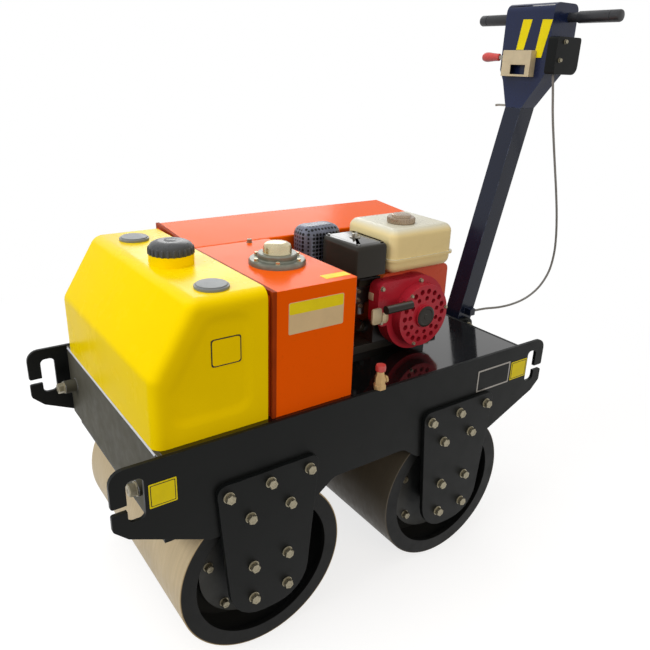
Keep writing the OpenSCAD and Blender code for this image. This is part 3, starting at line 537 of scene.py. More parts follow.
def smooth_line(points, steps=4):
    """A smooth line through points, one stretch at a time."""
    points = [Vector(p) for p in points]
    last = len(points) - 1
    line = []
    for i in range(last):
        a, b, c, d = (points[max(0, min(last, i + k))] for k in (-1, 0, 1, 2))
        for k in range(steps):
            t = k / steps
            bend, twist = 2 * a - 5 * b + 4 * c - d, 3 * b - a - 3 * c + d
            line.append((2 * b + (c - a) * t + bend * t ** 2 + twist * t ** 3) / 2)
    return line + [points[-1]]


def hose(bm, line, radius, sides=12):
    """A round tube along a line, closed at both ends."""
    rings = []
    angles = [math.tau * k / sides for k in range(sides)]
    way = (line[1] - line[0]).normalized()
    side = way.orthogonal().normalized()
    for i, spot in enumerate(line):
        ahead = (line[min(i + 1, len(line) - 1)] - line[max(i - 1, 0)]).normalized()
        side = (way.rotation_difference(ahead) @ side).normalized()
        way = ahead
        other = way.cross(side)
        rings.append([
            bm.verts.new(spot + radius * (math.cos(angle) * side + math.sin(angle) * other))
            for angle in angles
        ])
    skin(bm, rings, sides)
    bm.faces.new(rings[0])
    bm.faces.new(rings[-1])


def bolt(bm, spot, way, head, turn=0.0, index=0):
    """A hexagon bolt with its washer, standing on a face. The head is the width across its flats."""
    washer, rise = head * 0.66, head * 0.12
    turned(bm, [
        (washer, 0), (washer, rise * 0.8), (washer - rise * 0.3, rise)
    ], facing(spot, way, turn), 24, index)
    corner, height = head / math.sqrt(3), head * 0.62
    turned(bm, [
        (corner, 0), (corner, height * 0.82), (corner * 0.86, height), (corner * 0.5, height),
        (corner * 0.44, height * 0.93)
    ], facing(spot + way.normalized() * rise, way, turn), 6, index)


def piece(name, bm, finish_names, stands_for=(), body="frame"):
    """A mesh object from a shape: shaded softly up to an angle, finished, and riding on a body."""
    bmesh.ops.recalc_face_normals(bm, faces=bm.faces[:])
    for face in bm.faces:
        face.smooth = True
    for edge in bm.edges:
        edge.smooth = len(edge.link_faces) == 2 and edge.calc_face_angle() < SOFT_ANGLE
    mesh = bpy.data.meshes.new(name)
    bm.to_mesh(mesh)
    bm.free()
    made = bpy.data.objects.new(name, mesh)
    bpy.context.scene.collection.objects.link(made)
    for finish_name in finish_names:
        mesh.materials.append(finish(finish_name))
    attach(made, body)
    if stands_for:
        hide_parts(*stands_for)
    return made


def bolt_set(name, bolts, body="frame"):
    """A piece of zinc bolts, each with its spot, direction, head and turn."""
    bm = bmesh.new()
    for spot, way, head, turn in bolts:
        bolt(bm, spot, way, head, turn)
    piece(name, bm, ["bolt_zinc"], body=body)


def soft_shading():
    """A modifier's node group: soft shading up to an angle, sharp edges beyond it."""
    found = bpy.data.node_groups.get("soft_shading")
    if found:
        return found
    tree = bpy.data.node_groups.new("soft_shading", "GeometryNodeTree")
    for way in ("INPUT", "OUTPUT"):
        tree.interface.new_socket("Geometry", in_out=way, socket_type="NodeSocketGeometry")
    start = node(tree, "NodeGroupInput")
    bare = node(tree, "GeometryNodeRemoveAttribute", {"Geometry": start.outputs[0], "Name": "custom_normal"})
    whole = node(
        tree, "GeometryNodeSetShadeSmooth", {"Geometry": bare.outputs[0], "Shade Smooth": True}, domain="FACE"
    )
    angle = node(tree, "GeometryNodeInputMeshEdgeAngle")
    flat = node(
        tree, "FunctionNodeCompare", {"A": angle.outputs["Unsigned Angle"], "B": SOFT_ANGLE},
        data_type="FLOAT", operation="LESS_THAN"
    )
    parted = node(
        tree, "GeometryNodeSetShadeSmooth",
        {"Geometry": whole.outputs[0], "Shade Smooth": flat.outputs["Result"]}, domain="EDGE"
    )
    node(tree, "NodeGroupOutput", {0: parted.outputs[0]})
    return tree


def dress(name, finish_name, edge):
    """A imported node's finish, with joined faces, rounded edges and soft shading by modifiers."""
    shown = NODES[name]
    shown.data.materials.clear()
    shown.data.materials.append(finish(finish_name))
    add = shown.modifiers.new
    assign(add("joined", "WELD"), merge_threshold=0.00002)
    if edge:
        flat, corner = math.radians(0.6), math.radians(42.0)
        assign(add("merged", "DECIMATE"), decimate_type="DISSOLVE", angle_limit=flat)
        assign(add("softened", "BEVEL"), width=edge, segments=2, limit_method="ANGLE", angle_limit=corner)
    assign(add("shaded", "NODES"), node_group=soft_shading())
    if edge:
        assign(add("weighted", "WEIGHTED_NORMAL"), keep_sharp=True)


# Operators


class RollerOperator:
    """What all operators of the roller share."""

    bl_options = {"REGISTER", "UNDO"}


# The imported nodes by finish: edges as moulded, rounded as a folded cover's, or rounded as a cut plate's.
MOULDED_NODES = {
    "tank_yellow": ["water_tank"], "fuel_ivory": ["fuel_tank"], "gloss_black": ["air_cleaner"],
    "guard_metal": ["muffler"], "cable_grey": ["control_cable"],
}
COVER_NODES = {"hood_orange": ["hydraulic_tank", "belt_hood"], "fan_red": ["fan_cover"]}
PLATE_NODES = {
    "drum": ["front_drum", "rear_drum"],
    "frame_black": [
        "side_plate_left", "side_plate_right", "rear_cross_plate", "front_bracket_left",
        "front_bracket_right", "rear_bracket_left", "rear_bracket_right", "front_scraper", "rear_scraper",
        "handle_bracket", "control_box",
    ],
    "cross_grey": ["front_cross_plate"], "deck_black": ["deck"], "cap_black": ["filler_cap"],
    "plug_grey": ["tank_plugs"], "breather_metal": ["breather_cap"], "engine_black": ["engine_base"],
    "engine_alloy": ["engine_block", "carburettor"], "starter_red": ["recoil_starter"],
    "gloss_black": ["starter_grip"], "lever_plate": ["fuel_cap", "lever_plate"], "brass": ["drain_valve"],
    "arm_navy": ["handle_arm"], "head_navy": ["handle_head"], "grip_black": ["grip_left", "grip_right"],
    "knob_red": ["drive_lever"],
}


class ROLLER_OT_finishes(RollerOperator, bpy.types.Operator):
    """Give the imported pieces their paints, metals and plastics"""

    bl_idname = "roller.finishes"
    bl_label = "Finishes"

    def execute(self, context):
        sizes = context.scene.roller_sizes
        dressed = set()
        tables = ((0.0, MOULDED_NODES), (sizes.cover_edge, COVER_NODES), (sizes.sheet_edge, PLATE_NODES))
        for edge, table in tables:
            for finish_name, names in table.items():
                for name in names:
                    dress(name, finish_name, edge)
                    dressed.add(name)
        if dressed != set(NODES):
            raise RuntimeError(f"packed nodes without a finish: {sorted(set(NODES) - dressed)}")
        return {"FINISHED"}


# The control cable's route from the machine's middle, in metres.
CABLE_ROUTE = [
    (-0.7885, 0.102, 1.3120), (-0.8004, 0.102, 1.2663), (-0.8204, 0.100, 1.1965), (-0.8483, 0.098, 1.1168),
    (-0.8803, 0.094, 1.0371), (-0.9123, 0.090, 0.9573), (-0.9422, 0.085, 0.8776), (-0.9642, 0.080, 0.8039),
    (-0.9761, 0.074, 0.7431), (-0.9721, 0.068, 0.6844), (-0.9420, 0.062, 0.6347), (-0.8900, 0.057, 0.6029),
    (-0.8260, 0.053, 0.5892), (-0.7600, 0.049, 0.5875), (-0.6950, 0.046, 0.5937), (-0.6350, 0.044, 0.5960),
]
CABLE_RADIUS = 0.0035


class ROLLER_OT_cable(RollerOperator, bpy.types.Operator):
    """Lay the control cable from the control box to the clip at the arm's foot"""

    bl_idname = "roller.cable"
    bl_label = "Control cable"

    def execute(self, context):
        line = smooth_line([at(*p) for p in CABLE_ROUTE], 6)
        bm = bmesh.new()
        hose(bm, line, CABLE_RADIUS, 14)
        cable = piece("cable_cover", bm, ["cable_grey"], ["control_cable"], "handle")
        return {"FINISHED"}


# Bolts of a drum bracket from its axle, in metres, and the first hub bolt of each drum in degrees.
BRACKET_BOLTS = [
    (0.0, 0.253), (-0.102, 0.253), (0.102, 0.253), (-0.051, 0.181), (0.051, 0.181),
    (-0.0445, 0.045), (0.0445, 0.045), (-0.0445, -0.045), (0.0445, -0.045),
]
FIRST_HUB_BOLT = {"front": 13, "rear": 22}
HUB_BOLTS = 6


class ROLLER_OT_bolts(RollerOperator, bpy.types.Operator):
    """Fasten the drum brackets and the drum hubs"""

    bl_idname = "roller.bolts"
    bl_label = "Bolts"

    def execute(self, context):
        sizes = context.scene.roller_sizes
        for end, first in FIRST_HUB_BOLT.items():
            for side, way in (("left", ALONG_Y), ("right", -ALONG_Y)):
                name = f"{end}_bracket_{side}"
                face = face_of(name, way)
                bolt_set(f"{name}_bolts", [
                    (Vector((face.x + x, face.y, DRUM_RADIUS + z)), way, sizes.bolt_head, count * 0.7)
                    for count, (x, z) in enumerate(BRACKET_BOLTS)
                ])
            drum = f"{end}_drum"
            bolt_set(f"{drum}_bolts", [
                (
                    on_wheel(middle_of(drum), HUB_BOLT_CIRCLE, first - 360 / HUB_BOLTS * k, side * HUB_FACE),
                    side * ALONG_Y, sizes.bolt_head * 0.9, k
                )
                for side in (1, -1) for k in range(HUB_BOLTS)
            ], drum)
        return {"FINISHED"}


# Stickers are thin plates. Each layer lies a little in the one below and stands a little higher.
STICKER_THICK = 0.0005
LAYER_THICK = 0.0004
LAYER_SINK = 0.0002
LAYER_STEP = 0.0001
# Slanting stripes on the handle's head, across the machine and up, and their place along it, in metres.
HEAD_STRIPES = (
    [(-0.019, 1.459), (0.014, 1.458), (-0.005, 1.377), (-0.032, 1.377)],
    [(0.050, 1.457), (0.084, 1.456), (0.062, 1.356), (0.036, 1.356)],
)
HEAD_FACE = -0.776479
# The water tank's side panels are sunk by this, less a sticker's seat.
TANK_PANEL_SINK = 0.0056


def upright(x):
    """A matrix that stands an outline across the machine and up, at a place along it."""
    return Matrix(((0, 0, 1, x), (1, 0, 0, 0), (0, 1, 0, 0), (0, 0, 0, 1)))


class ROLLER_OT_labels(RollerOperator, bpy.types.Operator):
    """Stick the blank labels, signs and stripes on"""

    bl_idname = "roller.labels"
    bl_label = "Labels"

    def sticker(self, name, spot, up, size, radius, base, *layers):
        """A thin sticker on a base finish. Each layer has a finish, a height of its middle and a size."""
        across = -ALONG_X
        way = across.cross(up)
        turn = Matrix((across, up, way)).transposed().to_4x4()
        bm = bmesh.new()
        plate(bm, rounded_outline(*size, radius), STICKER_THICK, Matrix.Translation(spot) @ turn)
        kinds = [base]
        rise = STICKER_THICK
        for kind, y, width, height in layers:
            if kind not in kinds:
                kinds.append(kind)
            place = Matrix.Translation(spot + up * y + way * (rise - LAYER_SINK)) @ turn
            outline = rounded_outline(width, height, min(radius, height * 0.2))
            plate(bm, outline, LAYER_THICK, place, index=kinds.index(kind))
            rise += LAYER_STEP
        piece(name, bm, kinds)

    def execute(self, context):
        oil_side, oil_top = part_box("hydraulic_tank")[1].yz
        self.sticker(
            "tank_label", at(0.160, oil_side, 0.823), UP, (0.142, 0.071), 0.004, "label_beige",
            ("sign_yellow", 0.0215, 0.139, 0.0255), ("label_beige", -0.0135, 0.137, 0.041)
        )
        self.sticker(
            "top_sticker", at(0.089, 0.270, oil_top), -ALONG_Y, (0.066, 0.026), 0.002, "sign_yellow"
        )
        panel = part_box("water_tank")[1].y - TANK_PANEL_SINK
        self.sticker(
            "tank_sign", at(0.370, panel, 0.780), UP, (0.067, 0.060), 0.006, "sign_black",
            ("tank_yellow", 0, 0.062, 0.055)
        )
        side_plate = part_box("side_plate_left")[1].y
        for name, x, z, wide, high in (
            ("front_sticker", 0.531, 0.5245, 0.058, 0.055), ("rear_sticker", -0.531, 0.530, 0.066, 0.055)
        ):
            self.sticker(
                name, at(x, side_plate, z), UP, (wide, high), 0.002, "sign_yellow",
                ("sign_black", 0, wide * 0.90, high * 0.88), ("sign_yellow", 0, wide * 0.84, high * 0.82)
            )
        self.sticker(
            "data_plate", at(-0.427, side_plate, 0.532), UP, (0.130, 0.064), 0.003, "plate_grey",
            ("frame_black", 0, 0.121, 0.055)
        )
        bm = bmesh.new()
        for outline in HEAD_STRIPES:
            plate(bm, outline, 0.0006, upright(MIDDLE + HEAD_FACE))
        piece("head_stripes", bm, ["sign_yellow"], body="handle")
        return {"FINISHED"}


# Profiles of the caps as radii and heights, in metres.
FILLER_CAP = [
    (0.0465, 0), (0.048, 0.0015), (0.048, 0.0145), (0.0468, 0.0185), (0.0435, 0.0222), (0.0375, 0.0255),
    (0.0290, 0.0279), (0.0180, 0.0292), (0.0165, 0.0286), (0.0145, 0.0286), (0.0130, 0.0294), (0, 0.0296),
]
FILLER_RIB = [(0.0034, 0), (0.0040, 0.0015), (0.0040, 0.0110), (0.0026, 0.0150), (0, 0.0165)]
BREATHER_FLANGE = [
    (0.066, 0), (0.066, 0.008), (0.0635, 0.012), (0.048, 0.012), (0.046, 0.014), (0.046, 0.023),
    (0.044, 0.026),
]
BREATHER_DOME = [
    (0.034, 0.0255), (0.033, 0.028), (0.033, 0.038), (0.0305, 0.0445), (0.0245, 0.0485), (0.0140, 0.0497),
    (0, 0.050),
]
FUEL_CAP = [
    (0.034, 0), (0.036, 0.002), (0.036, 0.013), (0.034, 0.016), (0.027, 0.0165), (0.026, 0.018),
    (0.0255, 0.021), (0.023, 0.022),
]
FUEL_CAP_RIB = [(0.0016, 0), (0.0018, 0.012), (0, 0.014)]
# Radii of the circles of ribs and bolts on the caps, in metres.
FILLER_RIB_CIRCLE = 0.0476
BREATHER_BOLT_CIRCLE = 0.0555
FUEL_CAP_RIB_CIRCLE = 0.0352


class ROLLER_OT_caps(RollerOperator, bpy.types.Operator):
    """Turn the filler cap, the breather and the fuel cap"""

    bl_idname = "roller.caps"
    bl_label = "Caps"

    def execute(self, context):
        foot = face_of("filler_cap", -UP)
        bm = bmesh.new()
        turned(bm, FILLER_CAP, Matrix.Translation(foot), 72)
        for spot in on_cap(foot, FILLER_RIB_CIRCLE, 24, foot.z):
            turned(bm, FILLER_RIB, Matrix.Translation(spot), 10)
        piece("filler_cap_ribbed", bm, ["cap_black"], ["filler_cap"])

        foot = face_of("breather_cap", -UP)
        bm = bmesh.new()
        turned(bm, BREATHER_FLANGE, Matrix.Translation(foot), 64)
        turned(bm, BREATHER_DOME, Matrix.Translation(foot), 64, 1)
        for k, spot in enumerate(on_cap(foot, BREATHER_BOLT_CIRCLE, 6, foot.z + 0.0115)):
            bolt(bm, spot, UP, 0.009, k, 1)
        piece("breather_turned", bm, ["flange_grey", "breather_metal"], ["breather_cap"])

        foot = face_of("fuel_cap", -UP)
        bm = bmesh.new()
        turned(bm, FUEL_CAP, Matrix.Translation(foot), 60)
        for spot in on_cap(foot, FUEL_CAP_RIB_CIRCLE, 30, foot.z + 0.001):
            turned(bm, FUEL_CAP_RIB, Matrix.Translation(spot), 8)
        piece("fuel_cap_knurled", bm, ["fuel_cap_metal"], ["fuel_cap"])
        return {"FINISHED"}


# Bolts of the control box along the machine and up, the pin of the arm's catch, and two profiles, in metres.
CONTROL_BOX_BOLTS = ((-0.800, 1.399), (-0.786, 1.350))
CATCH_PIN = [
    (-0.772, -0.026, 1.219), (-0.772, -0.050, 1.219), (-0.771, -0.070, 1.2185), (-0.768, -0.078, 1.217),
]
CATCH_COLLAR = [(0.008, 0), (0.009, 0.0015), (0.008, 0.004)]
LEVER_ROD = [(0.006, 0), (0.006, 0.018)]


class ROLLER_OT_handle(RollerOperator, bpy.types.Operator):
    """Fit the grips, the drive lever and the handle's bolts"""

    bl_idname = "roller.handle"
    bl_label = "Handle fittings"

    def execute(self, context):
        sizes = context.scene.roller_sizes
        for side, way in (("left", ALONG_Y), ("right", -ALONG_Y)):
            grip = f"grip_{side}"
            low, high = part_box(grip)
            radius, reach = (high.z - low.z) / 2, high.y - low.y
            bm = bmesh.new()
            turned(bm, [
                (radius - 0.0030, 0), (radius - 0.0030, 0.030), (radius - 0.0008, 0.031), (radius, 0.033),
                (radius, reach - 0.030), (radius - 0.0010, reach - 0.0295), (radius - 0.0010, reach - 0.0280),
                (radius, reach - 0.0275), (radius, reach - 0.005), (radius - 0.0015, reach - 0.0015),
                (radius - 0.005, reach)
            ], facing(face_of(grip, -way), way), 40)
            piece(f"{grip}_sleeved", bm, ["grip_black"], [grip], "handle")

        low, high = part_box("drive_lever")
        reach = high.y - low.y
        place = facing(face_of("drive_lever", ALONG_Y), -ALONG_Y)
        bm = bmesh.new()
        turned(bm, LEVER_ROD, place, 20, 1)
        turned(bm, [
            (0.0085, 0.0155), (0.0105, 0.018), (0.0110, 0.030), (0.0125, 0.046), (0.0140, 0.060),
            (0.0137, 0.068), (0.0115, reach - 0.002), (0.0075, reach)
        ], place, 32)
        piece("drive_lever_knob", bm, ["knob_red", "steel"], ["drive_lever"], "handle")

        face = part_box("control_box")[1].y
        bolt_set("control_box_bolts", [
            (at(x, face, z), ALONG_Y, sizes.small_bolt_head * 0.8, z) for x, z in CONTROL_BOX_BOLTS
        ], "handle")

        bm = bmesh.new()
        hose(bm, smooth_line([at(*p) for p in CATCH_PIN]), 0.0034)
        turned(bm, CATCH_COLLAR, facing(at(-0.772, -0.030, 1.219), -ALONG_Y), 24)
        piece("arm_catch", bm, ["steel"], body="handle")
        return {"FINISHED"}


# Profiles of the engine's turned fittings as radii and heights, in metres.
STARTER_HUB = [
    (0.0285, 0), (0.0285, 0.0016), (0.0262, 0.0030), (0.0215, 0.0030), (0.0200, 0.0018), (0.0080, 0.0018),
    (0.0070, 0.0030),
]
PLUG_SEAT = [(0.040, -0.002), (0.042, 0.002), (0.042, 0.010), (0.038, 0.016), (0.020, 0.018)]
PLUG_NUT = [(0.011, 0.016), (0.011, 0.024)]
PLUG_COVER = [(0.0085, 0.022), (0.0095, 0.026), (0.0095, 0.044), (0.0075, 0.050), (0, 0.051)]
FILLER_NECK = [(0.013, -0.012), (0.013, 0.012)]
FILLER_KNOB = [(0.0165, 0.011), (0.0175, 0.013), (0.0175, 0.022), (0.0150, 0.025)]
WING_NUT = [(0.014, 0), (0.014, 0.002), (0.009, 0.004), (0.007, 0.010), (0, 0.011)]
# The cylinder's foot from the machine's middle, its length and its lean from upright, and the lead's end.
CYLINDER_FOOT = (-0.245, 0.040, 0.712)
CYLINDER_LENGTH = 0.188
CYLINDER_LEAN = math.radians(68)
LEAD_END = [(-0.080, 0.118, 0.812), (-0.096, 0.137, 0.812), (-0.125, 0.139, 0.812), (-0.152, 0.139, 0.811)]
# Flat fuel levers on the fan cover: place along the machine and up, width, height and thickness.
FUEL_LEVERS = ((-0.106, 0.727, 0.030, 0.042, 0.006), (-0.132, 0.719, 0.019, 0.026, 0.008))
# Fasteners along the machine and up, and the circle of the starter's bolts, in metres.
FAN_COVER_BOLTS = ((-0.122, 0.797), (-0.252, 0.800), (-0.122, 0.706))
CARBURETTOR_SCREWS = ((-0.094, 0.778), (-0.094, 0.754), (-0.102, 0.737))
STARTER_BOLT_CIRCLE = 0.0785


class ROLLER_OT_engine(RollerOperator, bpy.types.Operator):
    """Dress the engine with its starter hub, levers, spark plug, filler and fasteners"""

    bl_idname = "roller.engine"
    bl_label = "Engine fittings"

    def execute(self, context):
        small = context.scene.roller_sizes.small_bolt_head
        hub = face_of("recoil_starter", ALONG_Y)
        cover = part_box("fan_cover")[1].y
        bm = bmesh.new()
        turned(bm, STARTER_HUB, facing(hub, ALONG_Y))
        piece("starter_hub", bm, ["gloss_black"])
        bolt_set("fan_cover_bolts", [
            (on_wheel(hub, STARTER_BOLT_CIRCLE, 52 + 120 * k, hub.y - 0.008), ALONG_Y, small * 0.62, k)
            for k in range(3)
        ] + [
            (at(x, cover, z), ALONG_Y, small * 0.8, x * 9) for x, z in FAN_COVER_BOLTS
        ])

        bm = bmesh.new()
        outward = Matrix(((-1, 0, 0, 0), (0, 0, 1, 0), (0, 1, 0, 0), (0, 0, 0, 1)))
        for x, z, wide, high, thick in FUEL_LEVERS:
            place = Matrix.Translation(at(x, cover - 0.0005, z)) @ outward
            plate(bm, rounded_outline(wide, high, 0.006), thick, place, 0.0015)
        block(bm, at(-0.1125, 0.150, 0.761), at(-0.1085, 0.168, 0.781), 0.0015)
        piece("fuel_levers", bm, ["lever_plate"])
        bolt_set("carburettor_screws", [
            (at(x, 0.126, z), ALONG_Y, small * 0.75, z * 30) for x, z in CARBURETTOR_SCREWS
        ])

        bm = bmesh.new()
        way = Vector((math.sin(CYLINDER_LEAN), 0, math.cos(CYLINDER_LEAN)))
        end = at(*CYLINDER_FOOT) + way * CYLINDER_LENGTH
        turned(bm, PLUG_SEAT, facing(end, way), 48, 1)
        turned(bm, PLUG_NUT, facing(end, way), 6, 1)
        turned(bm, PLUG_COVER, facing(end, way), 24)
        tip = end + way * 0.044
        bend = [tip, tip + Vector((0.004, 0.016, 0.004)), tip + Vector((-0.012, 0.040, 0.006))]
        hose(bm, smooth_line(bend + [at(*p) for p in LEAD_END]), 0.0032, 10)
        piece("spark_plug", bm, ["rubber", "engine_alloy"])

        bm = bmesh.new()
        place = facing(at(-0.150, 0.086, 0.652), Vector((1, 0, 0.55)))
        turned(bm, FILLER_NECK, place, 32, 1)
        turned(bm, FILLER_KNOB, place, 14)
        piece("oil_filler", bm, ["gloss_black", "engine_alloy"])
        top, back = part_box("engine_base")[1].z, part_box("engine_block")[0].x
        bolt_set("engine_base_bolts", [
            (at(x, y, top), UP, small * 1.2, x * 7 + y) for x in (-0.370, -0.090) for y in (-0.044, 0.112)
        ])
        bolt_set("oil_drain_plugs", [
            (Vector((back, y, top + 0.022)), -ALONG_X, small * 1.4, y * 9) for y in (-0.030, 0.075)
        ])

        place = Matrix.Translation(face_of("air_cleaner", UP))
        bm = bmesh.new()
        turned(bm, WING_NUT, place, 32)
        for turn in (0.6, 0.6 + math.pi):
            wing = place @ Matrix.Rotation(turn, 4, "Z")
            block(bm, (0.004, -0.0016, 0.002), (0.017, 0.0016, 0.012), 0.0014, wing)
        piece("cleaner_wing_nut", bm, ["steel"])
        return {"FINISHED"}


# Profiles of the drain tap as radii and heights, in metres.
TAP_BODY = [(0.016, 0.000), (0.016, 0.010), (0.0135, 0.012), (0.013, 0.030), (0.011, 0.034), (0.009, 0.044)]
TAP_SPOUT = [(0.008, 0), (0.008, 0.013), (0.0095, 0.014), (0.0095, 0.019), (0.006, 0.019), (0.005, 0.015)]
TAP_KNOB = [(0.008, 0.0435), (0.0125, 0.047), (0.0130, 0.056), (0.0115, 0.061), (0.006, 0.062)]
# A dark strip of painted shade over the seam between the two tanks stands a little out of the tanks and
# reaches in over them.
SEAM_SHADE_OUT = 0.0008
SEAM_SHADE_IN = 0.009


class ROLLER_OT_fittings(RollerOperator, bpy.types.Operator):
    """Fit the drain tap, the bolts of the covers and the stops, a dark strip of painted shade over the tanks'
    seam, and the pivot's nuts
    """

    bl_idname = "roller.fittings"
    bl_label = "Small fittings"

    def seam_shade_outline(self, shift):
        """The outline over the hydraulic tank and the hood, across and up, shifted outwards."""
        (_, inner, _), (_, left, oil_top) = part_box("hydraulic_tank")
        right, hood_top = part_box("belt_hood")[0].y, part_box("belt_hood")[1].z
        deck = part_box("deck")[1].z
        return [
            (left + shift, deck), (left + shift, oil_top + shift), (inner, oil_top + shift),
            (right - shift, hood_top + shift), (right - shift, deck)
        ]

    def execute(self, context):
        sizes = context.scene.roller_sizes
        spot = face_of("drain_valve", -UP)
        spot.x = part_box("drain_valve")[0].x + 0.013
        place = Matrix.Translation(spot)
        bm = bmesh.new()
        turned(bm, TAP_BODY, place, 6)
        turned(bm, TAP_SPOUT, facing(spot + Vector((0, 0, 0.020)), -ALONG_X), 24)
        turned(bm, TAP_KNOB, place, 20, 1)
        piece("drain_tap", bm, ["brass", "knob_red"], ["drain_valve"])

        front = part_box("front_cross_plate")[1].x
        bolt_set("stop_bolts", [
            (Vector((front, y, 0.508)), ALONG_X, 0.024, y) for y in (-0.262, 0.262)
        ])
        top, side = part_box("hydraulic_tank")[1].z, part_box("belt_hood")[0].y
        bolt_set("cover_bolts", [
            (at(0.115, -0.068, top), UP, sizes.small_bolt_head, 1.2)
        ] + [
            (at(x, side, 0.630), -ALONG_Y, sizes.small_bolt_head, x * 11)
            for x in (0.235, 0.0, -0.235, -0.450)
        ])

        bm = bmesh.new()
        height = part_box("deck")[1].z - 0.0030
        hose(bm, [Vector((front - 0.030, y, height)) for y in (-0.304, -0.15, 0.0, 0.15, 0.304)], 0.0028)
        piece("front_edge_bead", bm, ["edge_bright"])

        # Painted shade: a dark strip over the seam between the two tanks.
        bm = bmesh.new()
        place = upright(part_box("hydraulic_tank")[1].x - 0.009)
        plate(bm, self.seam_shade_outline(SEAM_SHADE_OUT) + self.seam_shade_outline(-SEAM_SHADE_IN)[::-1], 0.0095, place, 0.0006)
        piece("tank_edge_trim", bm, ["trim_brown"])

        bolt_set("pivot_nuts", [
            (at(-0.612, face_of("handle_bracket", way).y, 0.550), way, 0.022, 0.3)
            for way in (ALONG_Y, -ALONG_Y)
        ])
        return {"FINISHED"}


# Each lamp: the property of its power, its spot from the machine's middle, the height that it aims at,
# its size, its tint and whether gloss mirrors it.
WHITE = (1.0, 1.0, 1.0)
LAMPS = {
    "key_lamp": ("key_power", (4.2, -0.4, 2.6), 0.5, (3.2, 3.2), WHITE, False),
    "top_lamp": ("top_power", (0.4, -0.4, 4.2), 0.5, (3.0, 3.0), WHITE, False),
    "side_lamp": ("side_power", (0.2, 4.4, 2.2), 0.5, (3.0, 3.0), (1.0, 0.84, 0.66), False),
    "back_lamp": ("back_power", (-1.64, -3.54, 2.64), 2.64, (1.9, 2.0), WHITE, True),
}
# The floor's greys for the light it throws back and for its shadow, and the glow that makes it near white.
FLOOR_GREY = 0.22
SHADOW_GREY = 0.34
FLOOR_GLOW = 0.76


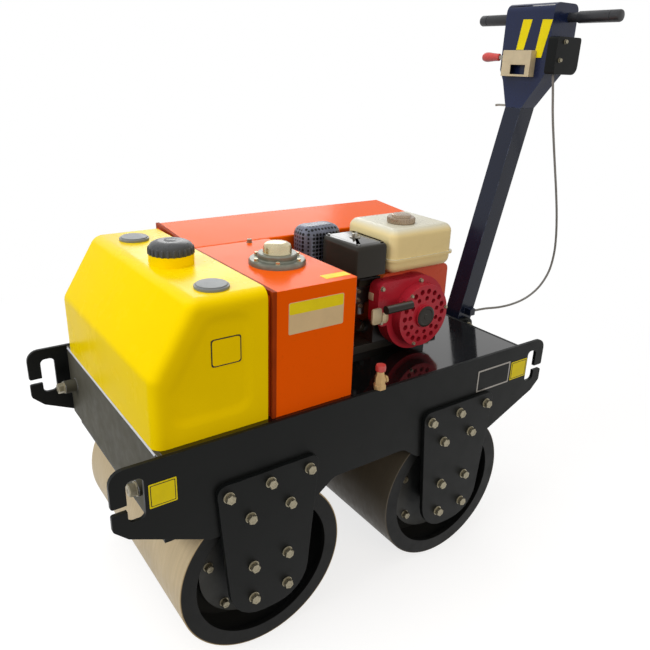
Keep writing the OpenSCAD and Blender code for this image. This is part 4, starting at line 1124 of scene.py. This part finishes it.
class ROLLER_OT_stage(RollerOperator, bpy.types.Operator):
    """Set the floor, the lamps, the room light and the camera"""

    bl_idname = "roller.stage"
    bl_label = "Stage"

    def shown_rays(self, tree):
        """One for rays from the camera, from gloss and through glass, else zero."""
        rays = node(tree, "ShaderNodeLightPath").outputs
        shown = maths(tree, "MAXIMUM", rays["Is Camera Ray"], rays["Is Glossy Ray"])
        return maths(tree, "MAXIMUM", shown, rays["Is Transmission Ray"])

    def mixed(self, tree, share, first, second):
        """The output of a mix of two shaders."""
        return node(tree, "ShaderNodeMixShader", {0: share, 1: first, 2: second}).outputs[0]

    def light(self, tree, kind, strength):
        """The output of a white light."""
        return node(tree, kind, {"Color": scaled(WHITE), "Strength": strength}).outputs[0]

    def lay_floor(self, scene, side):
        """A floor that keeps the shadow near the machine and turns white further out."""
        bm = bmesh.new()
        bmesh.ops.create_grid(bm, x_segments=1, y_segments=1, size=side / 2)
        mesh = bpy.data.meshes.new("floor")
        bm.to_mesh(mesh)
        bm.free()
        floor = bpy.data.objects.new("floor", mesh)
        scene.collection.objects.link(floor)
        pale = bpy.data.materials.new("floor_pale")
        pale.use_nodes = True
        tree = pale.node_tree
        tree.nodes.clear()
        matt, thin = (
            node(tree, "ShaderNodeBsdfDiffuse", {"Color": scaled(WHITE, grey)}).outputs[0]
            for grey in (FLOOR_GREY, SHADOW_GREY)
        )
        glow = self.light(tree, "ShaderNodeEmission", FLOOR_GLOW)
        lit = node(tree, "ShaderNodeAddShader", {0: thin, 1: glow}).outputs[0]
        spot = node(tree, "ShaderNodeTexCoord").outputs["Object"]
        away = node(tree, "ShaderNodeVectorMath", {0: spot}, operation="LENGTH").outputs["Value"]
        white = self.light(tree, "ShaderNodeEmission", 1.0)
        shown = self.mixed(tree, ranged(tree, away, 1.2, 2.6), lit, white)
        surface = self.mixed(tree, self.shown_rays(tree), matt, shown)
        node(tree, "ShaderNodeOutputMaterial", {"Surface": surface})
        mesh.materials.append(pale)

    def light_room(self, scene, strength):
        """An even light all around, white where it is seen."""
        scene.world = bpy.data.worlds.new("studio")
        scene.world.use_nodes = True
        tree = scene.world.node_tree
        tree.nodes.clear()
        dim, white = (self.light(tree, "ShaderNodeBackground", s) for s in (strength, 1.0))
        node(tree, "ShaderNodeOutputWorld", {"Surface": self.mixed(tree, self.shown_rays(tree), dim, white)})

    def hang_lamps(self, scene, stage):
        """The soft lamps around the machine."""
        for name, (key, place, aim_height, size, tint, mirrored) in LAMPS.items():
            lamp = bpy.data.lights.new(name, "AREA")
            assign(lamp, energy=getattr(stage, key), color=tint, shape="RECTANGLE")
            lamp.size, lamp.size_y = size
            hung = bpy.data.objects.new(name, lamp)
            spot = at(*place)
            way = at(0.0, 0.0, aim_height) - spot
            hung.matrix_world = Matrix.Translation(spot) @ way.to_track_quat("-Z", "Y").to_matrix().to_4x4()
            assign(hung, visible_glossy=mirrored, visible_camera=False)
            scene.collection.objects.link(hung)

    def set_camera(self, scene, stage):
        """The camera at the photograph's viewing angle."""
        azimuth, elevation, roll = stage.camera_turn
        level = math.cos(elevation)
        back = Vector((math.cos(azimuth) * level, math.sin(azimuth) * level, math.sin(elevation)))
        right = (-back).cross(UP).normalized()
        up = right.cross(-back)
        across = right * math.cos(roll) + up * math.sin(roll)
        rise = up * math.cos(roll) - right * math.sin(roll)
        lens = bpy.data.cameras.new("camera")
        assign(lens, sensor_width=36.0, lens=stage.camera_lens, clip_end=100.0)
        camera = bpy.data.objects.new("camera", lens)
        turn = Matrix((across, rise, back)).transposed().to_4x4()
        camera.matrix_world = Matrix.Translation(at(*stage.camera_spot)) @ turn
        scene.collection.objects.link(camera)
        scene.camera = camera

    def execute(self, context):
        scene = context.scene
        stage = scene.roller_stage
        self.lay_floor(scene, stage.floor_side)
        self.light_room(scene, stage.room_light)
        self.hang_lamps(scene, stage)
        self.set_camera(scene, stage)
        scene.view_settings.view_transform = "Standard"
        return {"FINISHED"}


STEPS = (
    ROLLER_OT_stage, ROLLER_OT_cable, ROLLER_OT_finishes, ROLLER_OT_bolts, ROLLER_OT_labels, ROLLER_OT_caps,
    ROLLER_OT_handle, ROLLER_OT_engine, ROLLER_OT_fittings,
)
GROUPS = {"roller_colours": RollerColours, "roller_sizes": RollerSizes, "roller_stage": RollerStage}


class ROLLER_PT_panel(bpy.types.Panel):
    """The roller's sizes, colours and steps"""

    bl_idname = "ROLLER_PT_panel"
    bl_label = "Vibratory roller"
    bl_space_type = "VIEW_3D"
    bl_region_type = "UI"
    bl_category = "Roller"

    def draw(self, context):
        layout = self.layout
        for step in STEPS:
            layout.operator(step.bl_idname)
        for name, group in GROUPS.items():
            box = layout.box()
            for key in group.__annotations__:
                box.prop(getattr(context.scene, name), key)


def register():
    """Registers the groups, the operators and the panel."""
    for name, group in GROUPS.items():
        bpy.utils.register_class(group)
        setattr(bpy.types.Scene, name, bpy.props.PointerProperty(type=group))
    for step in (*STEPS, ROLLER_PT_panel):
        bpy.utils.register_class(step)


def unregister():
    """Removes what register has added."""
    for step in (ROLLER_PT_panel, *reversed(STEPS)):
        bpy.utils.unregister_class(step)
    for name, group in GROUPS.items():
        delattr(bpy.types.Scene, name)
        bpy.utils.unregister_class(group)


def main():
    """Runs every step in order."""
    register()
    for step in STEPS:
        space, name = step.bl_idname.split(".")
        getattr(getattr(bpy.ops, space), name)()


if __name__ == "__main__":
    main()
